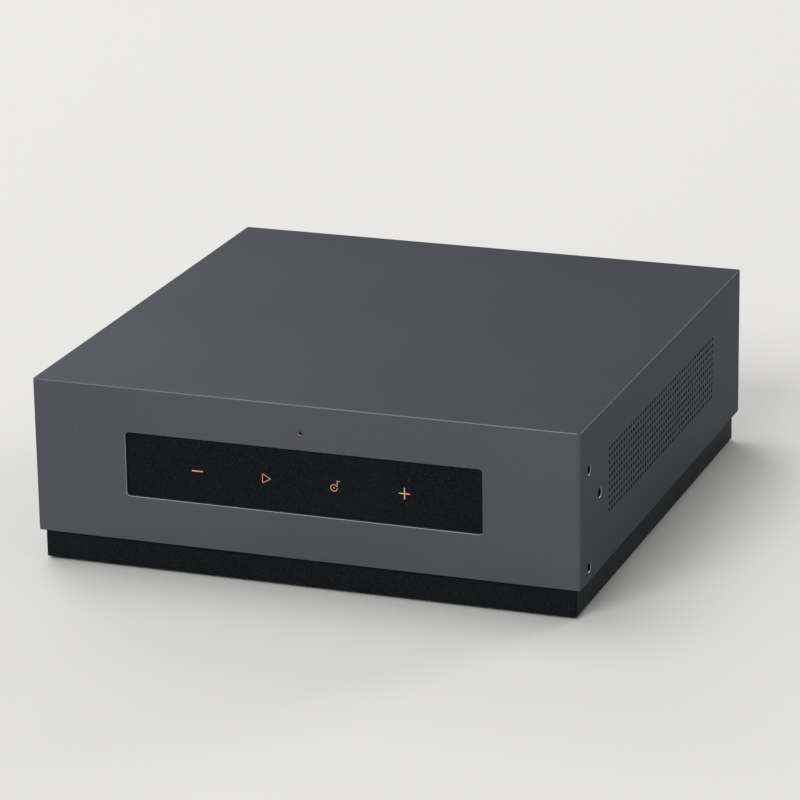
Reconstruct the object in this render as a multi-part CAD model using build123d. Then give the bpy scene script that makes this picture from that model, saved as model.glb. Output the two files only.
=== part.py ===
from build123d import *
import os

# A compact streaming amplifier: a folded metal cover with a recessed black touch strip and
# perforated sides, standing on a black plinth tray, with its connectors on a rear panel.
# Millimetres, +Z up, the front looks towards -Y. The origin is under the middle of the
# whole object, binding posts included, on the surface that the feet stand on.

# Case
case_width = 190.0
case_depth = 190.0
case_height = 64.1
plinth_height = 9.9       # the black band that shows below the cover
cover_wall = 1.5
cover_side_radius = 1.0   # upright corners of the cover
cover_top_radius = 0.6    # edges round the top
slip = 0.2                # clearance of what slides into the cover
small_sides = 6           # flats on the small round pieces that only fasten
round_sides = 12          # flats on larger round pieces
running_sides = 20        # flats where one round piece turns on another

# Touch strip
window_width = 124.4
window_height = 22.2
window_radius = 1.2
window_drop = 15.5        # from the top of the cover to the window
lens_step = 0.4           # how far the lens stands into the window
lens_lap = 3.0            # how far the lens reaches behind the cover round the window
lens_thickness = 1.6
lens_fit = 0.15           # gap between the lens and the window's edge
touch_board_thickness = 1.2
light_drop = 9.5          # status light, from the top of the cover
light_hole_radius = 0.5
light_pipe_radius = 0.45
light_sink = 0.3

# Side vents, with one square hole for each four small round ones of the finished cover
vent_rows = 5
vent_columns = 23
vent_row_pitch = 4.78
vent_column_pitch = 5.44
vent_hole = 2.5           # across the flats of one hole
vent_setback = 33.3       # front of the case to the first column
vent_drop = 16.1          # top of the cover to the first row

# Rack ear fixings, three on each side
rack_hole_radius = 1.65
rack_thread_radius = 1.5
rack_front_setback = 9.8
rack_upper_drop = 15.3
rack_lower_rise = 4.7     # above the cover's lower edge
rack_middle_setback = 21.3
rack_middle_drop = 26.8
rack_nut_radius = 3.2
rack_nut_length = 3.5

# Plinth tray
tray_wall = 2.0
tray_floor = 2.2
tray_radius = 0.8
tray_lip = 4.2            # how far the tray's walls run up inside the cover
tray_slot_length = 42.0
tray_slot_width = 3.0
tray_slot_pitch = 7.0
tray_slot_count = 8
tray_slot_offset = 40.0

# Feet
foot_radius = 8.0
foot_thickness = 1.0      # holds the plinth off the shelf
foot_inset = 16.0         # from the tray's edge to a foot's middle

# Fastening of the cover
lug_length = 12.0
lug_width = 9.0
lug_height = 5.0
lug_notch_gap = 1.0       # round a lug where it passes the boards' edges
lug_front_setback = 30.0  # from the case's front to a lug's middle
lug_back_setback = 45.0   # and from its back
boss_width = 8.0
cover_screw_radius = 1.5
cover_screw_head_radius = 2.75
cover_screw_head_height = 1.6
screw_play = 0.2

# Rear panel
panel_thickness = 1.2
panel_flange = 11.0
panel_screw_radius = 1.3
panel_screw_head_radius = 2.4
panel_screw_head_height = 1.4
panel_screw_inset = 6.0
flange_screw_length = 6.0
bracket_thickness = 2.5
bracket_foot = 10.0
cutout_fit = 0.2          # gap between a connector and its hole in the panel
connector_flush = 0.2     # how far a flush connector's face stands behind the panel's outside

# Boards
board_headroom = 37.5     # underside of the boards to the cover's top
board_thickness = 1.6
board_gap = 1.0           # between a board's edge and the rear panel
board_side_gap = 2.5      # between a board's edge and the inside of the cover
main_board_margin = 8.0   # how far the main board reaches past its first socket
board_split = 2.0         # gap between the two boards
main_board_depth = 112.0
power_board_depth = 150.0
standoff_across = 5.5
standoff_inset = 5.0
standoff_side_inset = 10.0  # clear of the lugs inside the cover
standoff_back_inset = 23.0  # behind the sockets that stand on the boards
board_screw_radius = 1.25
board_screw_head_radius = 2.5
board_screw_head_height = 1.8
board_screw_length = 6.0

# Binding posts
terminal_top_gap = 1.5
post_spacing = 19.05
terminal_width = 42.0
terminal_height = 38.0
terminal_thickness = 2.4
terminal_radius = 2.0
post_seat_radius = 6.0
post_seat_height = 1.4
post_seat_gap = 0.3
post_stud_radius = 3.5
post_shank = 5.0          # across the square of a stud where it can't turn in the plate
post_tail_radius = 2.4
post_tail_length = 6.0
post_stud_short = 0.6     # how far a stud's tip lies inside its cap
post_bore_radius = 2.0
post_bore_depth = 12.0
post_wire_hole = 2.2
post_running = 0.05
post_washer_radius = 5.6
post_washer_thickness = 0.9
post_cap_gap = 0.1
post_cap_length = 15.5
post_cap_radius = 6.6
post_cap_collar = 4.5
post_cap_chamfer = 1.0
terminal_boss = 30.0      # the square of the plate that fills the panel's hole
post_nut_across = 8.0
post_nut_thickness = 3.0
terminal_board_gap = 1.0  # between the terminal board and the first socket's body

# Mains inlet
inlet_width = 20.0
inlet_height = 13.4
inlet_depth = 17.0
inlet_recess_radius = 4.2
inlet_recess_spread = 7.2
inlet_recess_depth = 11.0
inlet_recess_waist = 7.4
inlet_pin_radius = 1.2
inlet_pin_spread = 8.6
inlet_pin_length = 9.0
inlet_flange = 2.0
inlet_flange_thickness = 1.2

# Phono jacks
phono_pitch = 14.0
phono_height = 6.0        # board to the middle of the lower jack
phono_body_width = 10.0
phono_body_depth = 11.0
phono_barrel_radius = 4.15
phono_barrel_bore = 3.4
phono_barrel_length = 8.5
phono_face_proud = 0.6
phono_hole_radius = 1.6
phono_hole_depth = 7.5
phono_insert_short = 0.4

# Optical input
optical_width = 13.6
optical_height = 13.4
optical_depth = 16.0
optical_opening = 9.8
optical_cavity = 11.5
shutter_thickness = 0.8
shutter_clearance = 0.3
shutter_pin_radius = 0.5
shutter_pin_running = 0.05
shutter_pin_end = 0.9
shutter_sink = 0.5        # how far the shut flap stands inside the mouth

# Other sockets
trigger_width = 7.6
trigger_height = 6.4
trigger_depth = 13.0
trigger_bore_radius = 1.8
trigger_bore_depth = 11.5
trigger_nose_radius = 3.0
trigger_nose_length = 1.6

display_width = 14.9
display_height = 5.6
display_depth = 11.0
display_wall = 0.5
display_chamfer = 1.4
display_tongue_width = 11.6
display_tongue_thickness = 1.2
display_tongue_length = 8.0

data_width = 13.2
data_height = 5.8
data_depth = 14.0
data_wall = 0.35
data_tongue_width = 11.2
data_tongue_thickness = 1.9
data_tongue_length = 9.0

network_width = 15.6
network_height = 13.4
network_depth = 18.0
network_opening_width = 11.8
network_opening_height = 6.8
network_cavity = 13.0
network_latch_width = 6.0
network_latch_height = 1.8
network_sill = 2.6

setup_height = 3.4        # board to the button's middle
setup_button_radius = 1.9
setup_button_length = 4.2
setup_button_proud = 0.6
setup_collar_radius = 2.6
setup_collar_thickness = 0.8
setup_hole_play = 0.2
setup_travel = 0.5
setup_stop_gap = 0.1      # left between the pressed button and its switch
setup_switch_size = 6.0
setup_switch_depth = 3.6

# Parts on the boards
heat_sink_width = 64.0
heat_sink_depth = 34.0
heat_sink_base = 4.0
heat_sink_height = 24.0
heat_sink_fins = 11
heat_sink_fin = 1.6
heat_sink_front_gap = 10.0
chip_width = 14.0
chip_depth = 6.1
chip_thickness = 1.0
chip_count = 2
choke_size = 12.0
choke_height = 10.0
choke_count = 4
choke_gap = 6.0
module_width = 28.0
module_depth = 24.0
module_height = 3.2
module_gap = 13.0         # behind the display socket
aerial_length = 32.0
aerial_height = 8.0
aerial_thickness = 0.8
aerial_inset = 12.0
capacitor_radius = 9.0
capacitor_top_gap = 4.9
capacitor_count = 2
capacitor_gap = 2.0
capacitor_front_gap = 10.0
core_width = 34.0
core_depth = 30.0
core_height = 26.0
core_leg = 8.0
core_setback = 45.0       # front of the power board to the transformer
winding_margin = 1.0
filter_width = 18.0
filter_depth = 16.0
filter_height = 20.0
filter_gap = 16.0         # behind the transformer
fuse_radius = 2.6
fuse_length = 20.0
switch_sink_width = 40.0
switch_sink_thickness = 3.0
switch_sink_height = 26.0
switch_sink_gap = 6.0
ribbon_width = 12.0
ribbon_thickness = 0.5
ribbon_sag = 6.0
ribbon_inset = 24.0       # from the main board's left edge
ribbon_lap = 6.0
ribbon_bend = 1.5
link_width = 14.0
link_thickness = 1.6
link_rise = 9.0
link_plug_depth = 6.0

# Places that follow from the sizes above
cover_bottom = foot_thickness + plinth_height
inside_x = case_width / 2 - cover_wall
inside_top = case_height - cover_wall
tray_inset = cover_wall + slip
tray_x = case_width / 2 - tray_inset
post_washer_near = terminal_thickness + post_seat_height + post_seat_gap
post_cap_near = post_washer_near + post_washer_thickness + post_cap_gap
post_reach = post_cap_near + post_cap_length
y_front = -(case_depth - tray_inset + post_reach) / 2
y_back = y_front + case_depth
panel_out = y_back - tray_inset
panel_in = panel_out - panel_thickness
tray_front = y_front + tray_inset
tray_back = panel_out
tray_top = foot_thickness + tray_floor
boss_top = cover_bottom + tray_lip
board_underside = inside_top - board_headroom
board_top = board_underside + board_thickness
board_back = panel_in - board_gap
board_right = inside_x - board_side_gap
terminal_z = inside_top - terminal_top_gap - terminal_height / 2
terminal_seat = panel_out + terminal_thickness + post_seat_height
phono_face = panel_out + phono_face_proud
window_middle = case_height - window_drop - window_height / 2
flush_face = panel_out - connector_flush


def spread(widths):
    """Middles of pieces that stand in a row with even gaps between the cover's sides."""
    gap = (2 * inside_x - sum(widths)) / (len(widths) + 1)
    places = []
    edge = -inside_x
    for width in widths:
        places.append(edge + gap + width / 2)
        edge += gap + width
    return places


(inlet_x, terminal_x, line_x, sub_x, setup_x,
 trigger_x, optical_x, display_x, data_x, network_x) = spread([
     inlet_width + 2 * inlet_flange, terminal_width, phono_body_width, phono_body_width,
     2 * setup_collar_radius, trigger_width, optical_width, display_width, data_width, network_width])
line_left = line_x - phono_body_width / 2
main_left = line_left - main_board_margin
main_front = board_back - main_board_depth
power_left = -board_right
power_right = main_left - board_split
power_front = board_back - power_board_depth


def block(x0, x1, y0, y1, z0, z1):
    """A box between two corners."""
    middle = Pos((x0 + x1) / 2, (y0 + y1) / 2, (z0 + z1) / 2)
    return middle * Box(abs(x1 - x0), abs(y1 - y0), abs(z1 - z0))


def rod(x, z, y0, y1, radius):
    """A cylinder that runs front to back."""
    return Pos(x, (y0 + y1) / 2, z) * Rot(90, 0, 0) * Cylinder(radius, y1 - y0)


def cross_rod(y, z, x0, x1, radius):
    """A cylinder that runs left to right."""
    return Pos((x0 + x1) / 2, y, z) * Rot(0, 90, 0) * Cylinder(radius, abs(x1 - x0))


def behind(sketch, x, z, y0, y1):
    """A flat outline, seen from the front, run from y0 back to y1."""
    plane = Plane(origin=(x, y0, z), x_dir=(1, 0, 0), z_dir=(0, 1, 0))
    return extrude(plane * sketch, y1 - y0)


def across(sketch, y, z, x0, x1):
    """A flat outline, seen from the left, run from x0 to x1."""
    return extrude(Plane(origin=(x0, y, z), x_dir=(0, 1, 0), z_dir=(1, 0, 0)) * sketch, x1 - x0)


def centred(x, z, width, height, y0, y1):
    """A box centred on x and z that runs from y0 to y1."""
    return block(x - width / 2, x + width / 2, y0, y1, z - height / 2, z + height / 2)


def stub(x, y, z0, z1, radius, sides=small_sides):
    """An upright round piece drawn with flats."""
    return extrude(Pos(x, y, z0) * RegularPolygon(radius, sides, major_radius=False), z1 - z0)


def stub_behind(x, z, y0, y1, radius, sides=small_sides):
    """A round piece drawn with flats that runs front to back."""
    return behind(RegularPolygon(radius, sides, major_radius=False), x, z, y0, y1)


def on_board(x, width, height, y0, y1):
    """A box centred on x that stands on a board."""
    return block(x - width / 2, x + width / 2, y0, y1, board_top, board_top + height)


def rack_places():
    """Each rack fixing's distance from the front and its height."""
    return [
        (y_front + rack_front_setback, case_height - rack_upper_drop),
        (y_front + rack_middle_setback, case_height - rack_middle_drop),
        (y_front + rack_front_setback, cover_bottom + rack_lower_rise),
    ]


def lug_places():
    """Middles of the four cover fixings, seen from above."""
    x = inside_x - lug_width / 2
    rows = (y_front + lug_front_setback, y_back - lug_back_setback)
    return [(s * x, y) for s in (-1, 1) for y in rows]


def foot_places():
    """Middles of the four feet."""
    x = tray_x - foot_inset
    return [(s * x, y) for s in (-1, 1) for y in (tray_front + foot_inset, tray_back - foot_inset)]


def standoff_places():
    """Middles of the standoffs under both boards."""
    near_back = board_back - standoff_back_inset
    main = [(x, y) for x in (main_left + standoff_inset, board_right - standoff_side_inset)
            for y in (main_front + standoff_inset, near_back)]
    power = [(x, y) for x in (power_left + standoff_side_inset, power_right - standoff_inset)
             for y in (power_front + standoff_inset, near_back)]
    return main + power


def post_places():
    """Middles of the four binding posts on the rear panel."""
    half = post_spacing / 2
    return [(terminal_x + i * half, terminal_z + k * half) for k in (1, -1) for i in (1, -1)]


def panel_screw_places():
    """Middles of the rear panel's upper screws."""
    z = inside_top - slip - panel_screw_inset
    x = inside_x - slip - panel_screw_inset
    return [(-x, z), (0.0, z), (x, z)]


def make_cover():
    """One folded sheet: the top, the front and both sides, open below and behind."""
    outer = block(-case_width / 2, case_width / 2, y_front, y_back, cover_bottom, case_height)
    front_uprights = outer.edges().filter_by(Axis.Z).group_by(Axis.Y)[0]
    outer = fillet(front_uprights, cover_side_radius)
    top_edges = outer.faces().sort_by(Axis.Z)[-1].edges().sort_by(Axis.Y)[:-1]
    outer = fillet(top_edges, cover_top_radius)
    hollow = block(-inside_x, inside_x, y_front + cover_wall, y_back + cover_wall,
                   cover_bottom - cover_wall, inside_top)
    window = behind(RectangleRounded(window_width, window_height, window_radius),
                    0, window_middle, y_front - cover_wall, y_front + 2 * cover_wall)
    light = stub_behind(0, case_height - light_drop, y_front - cover_wall, y_front + 2 * cover_wall,
                        light_hole_radius)
    racks = [cross_rod(y, z, s * (inside_x - cover_wall), s * (case_width / 2 + cover_wall),
                       rack_hole_radius) for s in (-1, 1) for y, z in rack_places()]
    return outer - hollow - window - light - racks - vent_holes()


def vent_holes():
    """The grid of holes punched through both sides."""
    hole = Box(case_width + 2 * cover_wall, vent_hole, vent_hole)
    return [Pos(0, y_front + vent_setback + i * vent_column_pitch,
                case_height - vent_drop - k * vent_row_pitch) * hole
            for i in range(vent_columns) for k in range(vent_rows)]


def make_tray():
    """The black plinth: a floor with a wall that runs up inside the cover."""
    outer = block(-tray_x, tray_x, tray_front, tray_back, foot_thickness, boss_top)
    outer = fillet(outer.edges().filter_by(Axis.Z), tray_radius)
    inner_x = tray_x - tray_wall
    hollow = block(-inner_x, inner_x, tray_front + tray_wall, tray_back - tray_wall,
                   tray_top, boss_top + tray_wall)
    behind_panel = block(-case_width, case_width, panel_in - panel_flange, y_back,
                         cover_bottom, boss_top + tray_wall)
    tray = outer - hollow
    tray += [block(x - boss_width / 2, x + boss_width / 2, y - boss_width / 2, y + boss_width / 2,
                   foot_thickness, boss_top) for x, y in lug_places()]
    tray += flange_blocks()
    tray -= behind_panel
    tray -= [stub(x, y, cover_bottom + panel_thickness - flange_screw_length, cover_bottom,
                  panel_screw_radius) for x, y in flange_screw_places()]
    tray -= [stub(x, y, 0, boss_top, cover_screw_radius + screw_play) for x, y in lug_places()]
    tray -= [stub(x, y, 0, tray_top, cover_screw_head_radius + screw_play) for x, y in lug_places()]
    tray -= rack_notches()
    tray -= floor_slots()
    return tray


def rack_notches():
    """Notches in the tray's lip round the rack nuts behind it."""
    reach = inside_x - rack_nut_length - slip
    half = rack_nut_radius + slip
    return [block(s * reach, s * inside_x, y - half, y + half, z - half, z + half)
            for s in (-1, 1) for y, z in rack_places()]


def flange_blocks():
    """Two blocks in the tray that the rear panel's flange is screwed down on."""
    back = tray_back - tray_wall / 2
    return [block(s * tray_x / 2 - boss_width / 2, s * tray_x / 2 + boss_width / 2,
                  panel_in - panel_flange, back, foot_thickness, cover_bottom) for s in (-1, 1)]


def floor_slots():
    """Two rows of slots through the tray's floor."""
    middle = (tray_front + tray_back) / 2
    first = middle - (tray_slot_count - 1) * tray_slot_pitch / 2
    half = tray_slot_length / 2
    return [block(s * tray_slot_offset - half, s * tray_slot_offset + half,
                  y - tray_slot_width / 2, y + tray_slot_width / 2, 0, tray_top + tray_wall)
            for s in (-1, 1) for y in [first + i * tray_slot_pitch for i in range(tray_slot_count)]]


def make_feet():
    """Four round rubber pads bonded under the tray."""
    return [stub(x, y, 0, foot_thickness, foot_radius, round_sides) for x, y in foot_places()]


def make_lugs():
    """Threaded lugs welded inside the cover's sides, over the tray's bosses."""
    lugs = []
    for x, y in lug_places():
        lug = block(x - lug_width / 2, x + lug_width / 2, y - lug_length / 2, y + lug_length / 2,
                    boss_top, boss_top + lug_height)
        lugs.append(lug - stub(x, y, boss_top, boss_top + lug_height, cover_screw_radius))
    return lugs


def make_cover_screws():
    """Screws from under the tray up into the lugs."""
    seat = tray_top
    return [stub(x, y, seat - cover_screw_head_height, seat, cover_screw_head_radius)
            + stub(x, y, seat, boss_top + lug_height, cover_screw_radius) for x, y in lug_places()]


def make_rack_nuts():
    """Clinch nuts behind the rack holes in both sides."""
    outline = (RegularPolygon(rack_nut_radius, small_sides)
               - RegularPolygon(rack_thread_radius, small_sides, major_radius=False))
    nuts = []
    for y, z in rack_places():
        plane = Plane(origin=(inside_x - rack_nut_length, y, z), x_dir=(0, 1, 0), z_dir=(1, 0, 0))
        nut = extrude(plane * outline, rack_nut_length)
        nuts += [nut, mirror(nut, Plane.YZ)]
    return nuts


def make_lens():
    """The black touch strip: a plate behind the window with a step that fills it."""
    face = y_front + cover_wall
    step = RectangleRounded(window_width - 2 * lens_fit, window_height - 2 * lens_fit,
                            window_radius - lens_fit)
    flange = Rectangle(window_width + 2 * lens_lap, window_height + 2 * lens_lap)
    plate = behind(flange, 0, window_middle, face, face + lens_thickness)
    return plate + behind(step, 0, window_middle, face - lens_step, face)


def make_touch_board():
    """The sensor board bonded to the back of the lens, up to the status light."""
    face = y_front + cover_wall + lens_thickness
    half = window_width / 2 + lens_lap
    low = window_middle - window_height / 2
    high = case_height - light_drop + 2 * light_pipe_radius
    return block(-half, half, face, face + touch_board_thickness, low, high)


def make_light_pipe():
    """The status light's clear rod, from the sensor board to the front."""
    return stub_behind(0, case_height - light_drop, y_front + light_sink,
                       y_front + cover_wall + lens_thickness, light_pipe_radius)


def make_panel():
    """The rear panel with a foot flange, and a hole for each connector."""
    x = inside_x - slip
    panel = block(-x, x, panel_in, panel_out, cover_bottom, inside_top - slip)
    panel += block(-x + tray_wall, x - tray_wall, panel_in - panel_flange, panel_in,
                   cover_bottom, cover_bottom + panel_thickness)
    terminal_hole = terminal_boss + 2 * cutout_fit
    panel -= centred(terminal_x, terminal_z, terminal_hole, terminal_hole, panel_in, panel_out)
    panel -= [stub_behind(px, pz, panel_in, panel_out, panel_screw_radius)
              for px, pz in panel_screw_places()]
    panel -= [stub(px, py, cover_bottom, cover_bottom + panel_thickness, panel_screw_radius)
              for px, py in flange_screw_places()]
    panel -= [panel_hole(*hole) for hole in square_holes()]
    panel -= stub_behind(trigger_x, board_top + trigger_height / 2, panel_in, panel_out,
                         trigger_nose_radius + cutout_fit, round_sides)
    panel -= stub_behind(setup_x, board_top + setup_height, panel_in, panel_out,
                         setup_button_radius + setup_hole_play, round_sides)
    return panel


def panel_hole(x, width, height):
    """The hole round one connector that stands on a board."""
    return block(x - width / 2 - cutout_fit, x + width / 2 + cutout_fit, panel_in, panel_out,
                 board_top - cutout_fit, board_top + height + cutout_fit)


def square_holes():
    """Place and size of each connector that fills a square hole."""
    return [(inlet_x, inlet_width, inlet_height), (line_x, phono_body_width, line_height()),
            (sub_x, phono_body_width, sub_height()), (optical_x, optical_width, optical_height),
            (display_x, display_width, display_height), (data_x, data_width, data_height),
            (network_x, network_width, network_height)]


def sub_height():
    """Height of the single phono body above its board."""
    return phono_height + phono_body_width / 2


def line_height():
    """Height of the double phono body above its board."""
    return sub_height() + phono_pitch


def make_panel_brackets():
    """Folded brackets under the cover's top that the panel's upper screws bite in."""
    brackets = []
    for x, z in panel_screw_places():
        half = panel_screw_inset - slip
        tab = block(x - half, x + half, panel_in - bracket_thickness, panel_in, z - half, inside_top)
        tab += block(x - half, x + half, panel_in - bracket_foot, panel_in,
                     inside_top - bracket_thickness, inside_top)
        near = panel_in - bracket_thickness
        brackets.append(tab - stub_behind(x, z, near, panel_in, panel_screw_radius))
    return brackets


def make_panel_screws():
    """The rear panel's upper screws, and two down through its flange."""
    upper = [stub_behind(x, z, panel_out, panel_out + panel_screw_head_height, panel_screw_head_radius)
             + stub_behind(x, z, panel_in - bracket_thickness, panel_out, panel_screw_radius)
             for x, z in panel_screw_places()]
    seat = cover_bottom + panel_thickness
    lower = [stub(x, y, seat, seat + panel_screw_head_height, panel_screw_head_radius)
             + stub(x, y, seat - flange_screw_length, seat, panel_screw_radius)
             for x, y in flange_screw_places()]
    return upper + lower


def flange_screw_places():
    """Middles of the screws through the rear panel's flange, seen from above."""
    return [(s * tray_x / 2, panel_in - panel_flange / 2) for s in (-1, 1)]


def phono_places():
    """Middles of the phono jacks: right line, left line, then subwoofer."""
    low = board_top + phono_height
    return [(line_x, low), (line_x, low + phono_pitch), (sub_x, low)]


def make_phono_bodies():
    """The black bodies of the phono jacks, whose faces fill the panel's holes."""
    front = panel_in - phono_body_depth
    return [on_board(line_x, phono_body_width, line_height(), front, phono_face),
            on_board(sub_x, phono_body_width, sub_height(), front, phono_face)]


def make_phono_barrels():
    """The plated barrels that a phono plug's collar grips."""
    tip = phono_face + phono_barrel_length
    return [rod(x, z, phono_face, tip, phono_barrel_radius)
            - stub_behind(x, z, phono_face, tip, phono_barrel_bore, round_sides)
            for x, z in phono_places()]


def make_phono_insert(place):
    """The coloured insulator inside one barrel, with the hole for a plug's pin."""
    x, z = phono_places()[place]
    tip = phono_face + phono_barrel_length - phono_insert_short
    return (stub_behind(x, z, phono_face, tip, phono_barrel_bore, round_sides)
            - stub_behind(x, z, tip - phono_hole_depth, tip, phono_hole_radius))


def make_terminal_plate():
    """The black plate under the binding posts, with a raised seat for each."""
    outline = RectangleRounded(terminal_width, terminal_height, terminal_radius)
    plate = behind(outline, terminal_x, terminal_z, panel_out, panel_out + terminal_thickness)
    plate += centred(terminal_x, terminal_z, terminal_boss, terminal_boss, panel_in, panel_out)
    plate += [stub_behind(x, z, panel_out, terminal_seat, post_seat_radius, round_sides)
              for x, z in post_places()]
    return plate - [centred(x, z, post_shank, post_shank, panel_in, terminal_seat)
                    for x, z in post_places()]


def make_studs():
    """Plated studs: a plug's bore at the tip, a hole across for bare wire and a square shank."""
    tip = panel_out + post_reach - post_stud_short
    board_face = panel_in - board_thickness
    studs = []
    for x, z in post_places():
        stud = behind(RegularPolygon(post_stud_radius, running_sides), x, z, terminal_seat, tip)
        stud -= rod(x, z, tip - post_bore_depth, tip, post_bore_radius)
        stud -= block(x - post_wire_hole / 2, x + post_wire_hole / 2, terminal_seat,
                      terminal_seat + post_wire_hole, z - post_stud_radius, z + post_stud_radius)
        stud += centred(x, z, post_shank, post_shank, board_face, terminal_seat)
        stud += stub_behind(x, z, board_face - post_tail_length, board_face, post_tail_radius)
        studs.append(stud)
    return studs


def make_stud_nuts():
    """Hexagon nuts that clamp the studs and the terminal board from inside."""
    outline = (RegularPolygon(post_nut_across / 2, 6, major_radius=False)
               - RegularPolygon(post_tail_radius, small_sides, major_radius=False))
    far = panel_in - board_thickness
    return [behind(outline, x, z, far - post_nut_thickness, far) for x, z in post_places()]


def make_terminal_board():
    """The small upright board that joins the studs to the main board's edge."""
    board = block(terminal_x - terminal_width / 2, line_left - terminal_board_gap,
                  panel_in - board_thickness, panel_in, board_top, terminal_z + terminal_boss / 2)
    return board - [centred(x, z, post_shank, post_shank, panel_in - board_thickness, panel_in)
                    for x, z in post_places()]


def make_post_washer(place):
    """The captive washer under one binding post's cap."""
    x, z = post_places()[place]
    near = panel_out + post_washer_near
    far = near + post_washer_thickness
    return (stub_behind(x, z, near, far, post_washer_radius, round_sides)
            - stub_behind(x, z, near, far, post_stud_radius + post_running, running_sides))


def make_post_cap(place):
    """One screw cap: a collar and a hexagon grip with a bevelled end."""
    x, z = post_places()[place]
    near = panel_out + post_cap_near
    far = near + post_cap_length
    grip = behind(RegularPolygon(post_cap_radius, 6), x, z, near, far)
    grip = chamfer(grip.faces().sort_by(Axis.Y)[-1].edges(), post_cap_chamfer)
    collar = behind(RegularPolygon(post_cap_radius, round_sides), x, z, near, near + post_cap_collar)
    return grip + collar - stub_behind(x, z, near, far, post_stud_radius + post_running, running_sides)


def make_inlet():
    """The mains inlet: a moulded body with a figure-eight recess."""
    z = board_top + inlet_height / 2
    body = centred(inlet_x, z, inlet_width, inlet_height, panel_out - inlet_depth, panel_out)
    body += centred(inlet_x, z, inlet_width + 2 * inlet_flange, inlet_height + 2 * inlet_flange,
                    panel_out, panel_out + inlet_flange_thickness)
    far = panel_out + inlet_flange_thickness
    near = far - inlet_recess_depth
    half = inlet_recess_spread / 2
    recess = stub_behind(inlet_x - half, z, near, far, inlet_recess_radius, round_sides)
    recess += stub_behind(inlet_x + half, z, near, far, inlet_recess_radius, round_sides)
    recess += centred(inlet_x, z, inlet_recess_spread, inlet_recess_waist, near, far)
    pins = [stub_behind(x, z, panel_out - inlet_depth, near, inlet_pin_radius) for x in inlet_pin_places()]
    return body - recess - pins


def inlet_pin_places():
    """Sideways places of the mains pins."""
    return [inlet_x - inlet_pin_spread / 2, inlet_x + inlet_pin_spread / 2]


def make_inlet_pins():
    """The two mains pins."""
    z = board_top + inlet_height / 2
    near = panel_out + inlet_flange_thickness - inlet_recess_depth
    return [stub_behind(x, z, panel_out - inlet_depth, near + inlet_pin_length, inlet_pin_radius)
            for x in inlet_pin_places()]


def make_optical_body():
    """The optical socket's body, with a mouth and seats for the shutter's pin."""
    z = board_top + optical_height / 2
    body = on_board(optical_x, optical_width, optical_height, flush_face - optical_depth, flush_face)
    body -= centred(optical_x, z, optical_opening, optical_opening,
                    flush_face - optical_cavity, flush_face)
    y, pz = shutter_axis()
    half = optical_opening / 2 + shutter_pin_end
    seats = RegularPolygon(shutter_pin_radius + shutter_pin_running, round_sides, major_radius=False)
    return body - across(seats, y, pz, optical_x - half, optical_x + half)


def shutter_axis():
    """Place of the shutter's pin: how far back and how high."""
    z = board_top + (optical_height + optical_opening) / 2
    return (flush_face - shutter_sink - shutter_thickness / 2,
            z - shutter_clearance - shutter_thickness / 2)


def make_shutter():
    """The flap that a plug pushes inwards, with its pin."""
    y, z = shutter_axis()
    half = optical_opening / 2 - shutter_clearance
    low = board_top + (optical_height - optical_opening) / 2 + shutter_clearance
    flap = block(optical_x - half, optical_x + half,
                 y - shutter_thickness / 2, y + shutter_thickness / 2, low, z)
    flap += across(RegularPolygon(shutter_thickness / 2, round_sides), y, z,
                   optical_x - half, optical_x + half)
    reach = optical_opening / 2 + shutter_pin_end - shutter_pin_running
    return flap + across(RegularPolygon(shutter_pin_radius, round_sides), y, z,
                         optical_x - reach, optical_x + reach)


def make_trigger_jack():
    """A 3.5 mm jack with its nose through the panel."""
    z = board_top + trigger_height / 2
    body = on_board(trigger_x, trigger_width, trigger_height, panel_in - trigger_depth, panel_in)
    nose = panel_in + trigger_nose_length
    body += stub_behind(trigger_x, z, panel_in, nose, trigger_nose_radius, round_sides)
    return body - rod(trigger_x, z, nose - trigger_bore_depth, nose, trigger_bore_radius)


def make_display_shell():
    """The plated shell of the display socket, with its two lower corners cut off."""
    z = board_top + display_height / 2
    outline = display_outline(0) - display_outline(display_wall)
    shell = behind(outline, display_x, z, flush_face - display_depth, flush_face)
    floor = flush_face - display_depth
    return shell + behind(display_outline(0), display_x, z, floor - display_wall, floor)


def display_outline(inset):
    """The socket's outline, taken in all round."""
    width, height = display_width - 2 * inset, display_height - 2 * inset
    outline = Rectangle(width, height)
    lower_corners = outline.vertices().group_by(Axis.Y)[-1]
    return chamfer(lower_corners, display_chamfer)


def make_display_tongue():
    """The contact tongue inside the display socket."""
    z = board_top + display_height / 2
    back = flush_face - display_depth
    return centred(display_x, z, display_tongue_width, display_tongue_thickness,
                   back, back + display_tongue_length)


def make_data_shell():
    """The plated shell of the data socket."""
    z = board_top + data_height / 2
    shell = on_board(data_x, data_width, data_height, flush_face - data_depth, flush_face)
    return shell - centred(data_x, z, data_width - 2 * data_wall, data_height - 2 * data_wall,
                           flush_face - data_depth + data_wall, flush_face)


def make_data_tongue():
    """The contact tongue in the upper part of the data socket."""
    z = board_top + data_height - data_wall - data_tongue_thickness
    back = flush_face - data_depth + data_wall
    return centred(data_x, z, data_tongue_width, data_tongue_thickness, back, back + data_tongue_length)


def make_network_socket():
    """The network socket, with the notch for a plug's latch above its mouth."""
    low = board_top + network_sill
    near = flush_face - network_cavity
    body = on_board(network_x, network_width, network_height, flush_face - network_depth, flush_face)
    mouth = block(network_x - network_opening_width / 2, network_x + network_opening_width / 2,
                  near, flush_face, low, low + network_opening_height)
    notch = block(network_x - network_latch_width / 2, network_x + network_latch_width / 2,
                  near, flush_face, low + network_opening_height,
                  low + network_opening_height + network_latch_height)
    return body - mouth - notch


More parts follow.
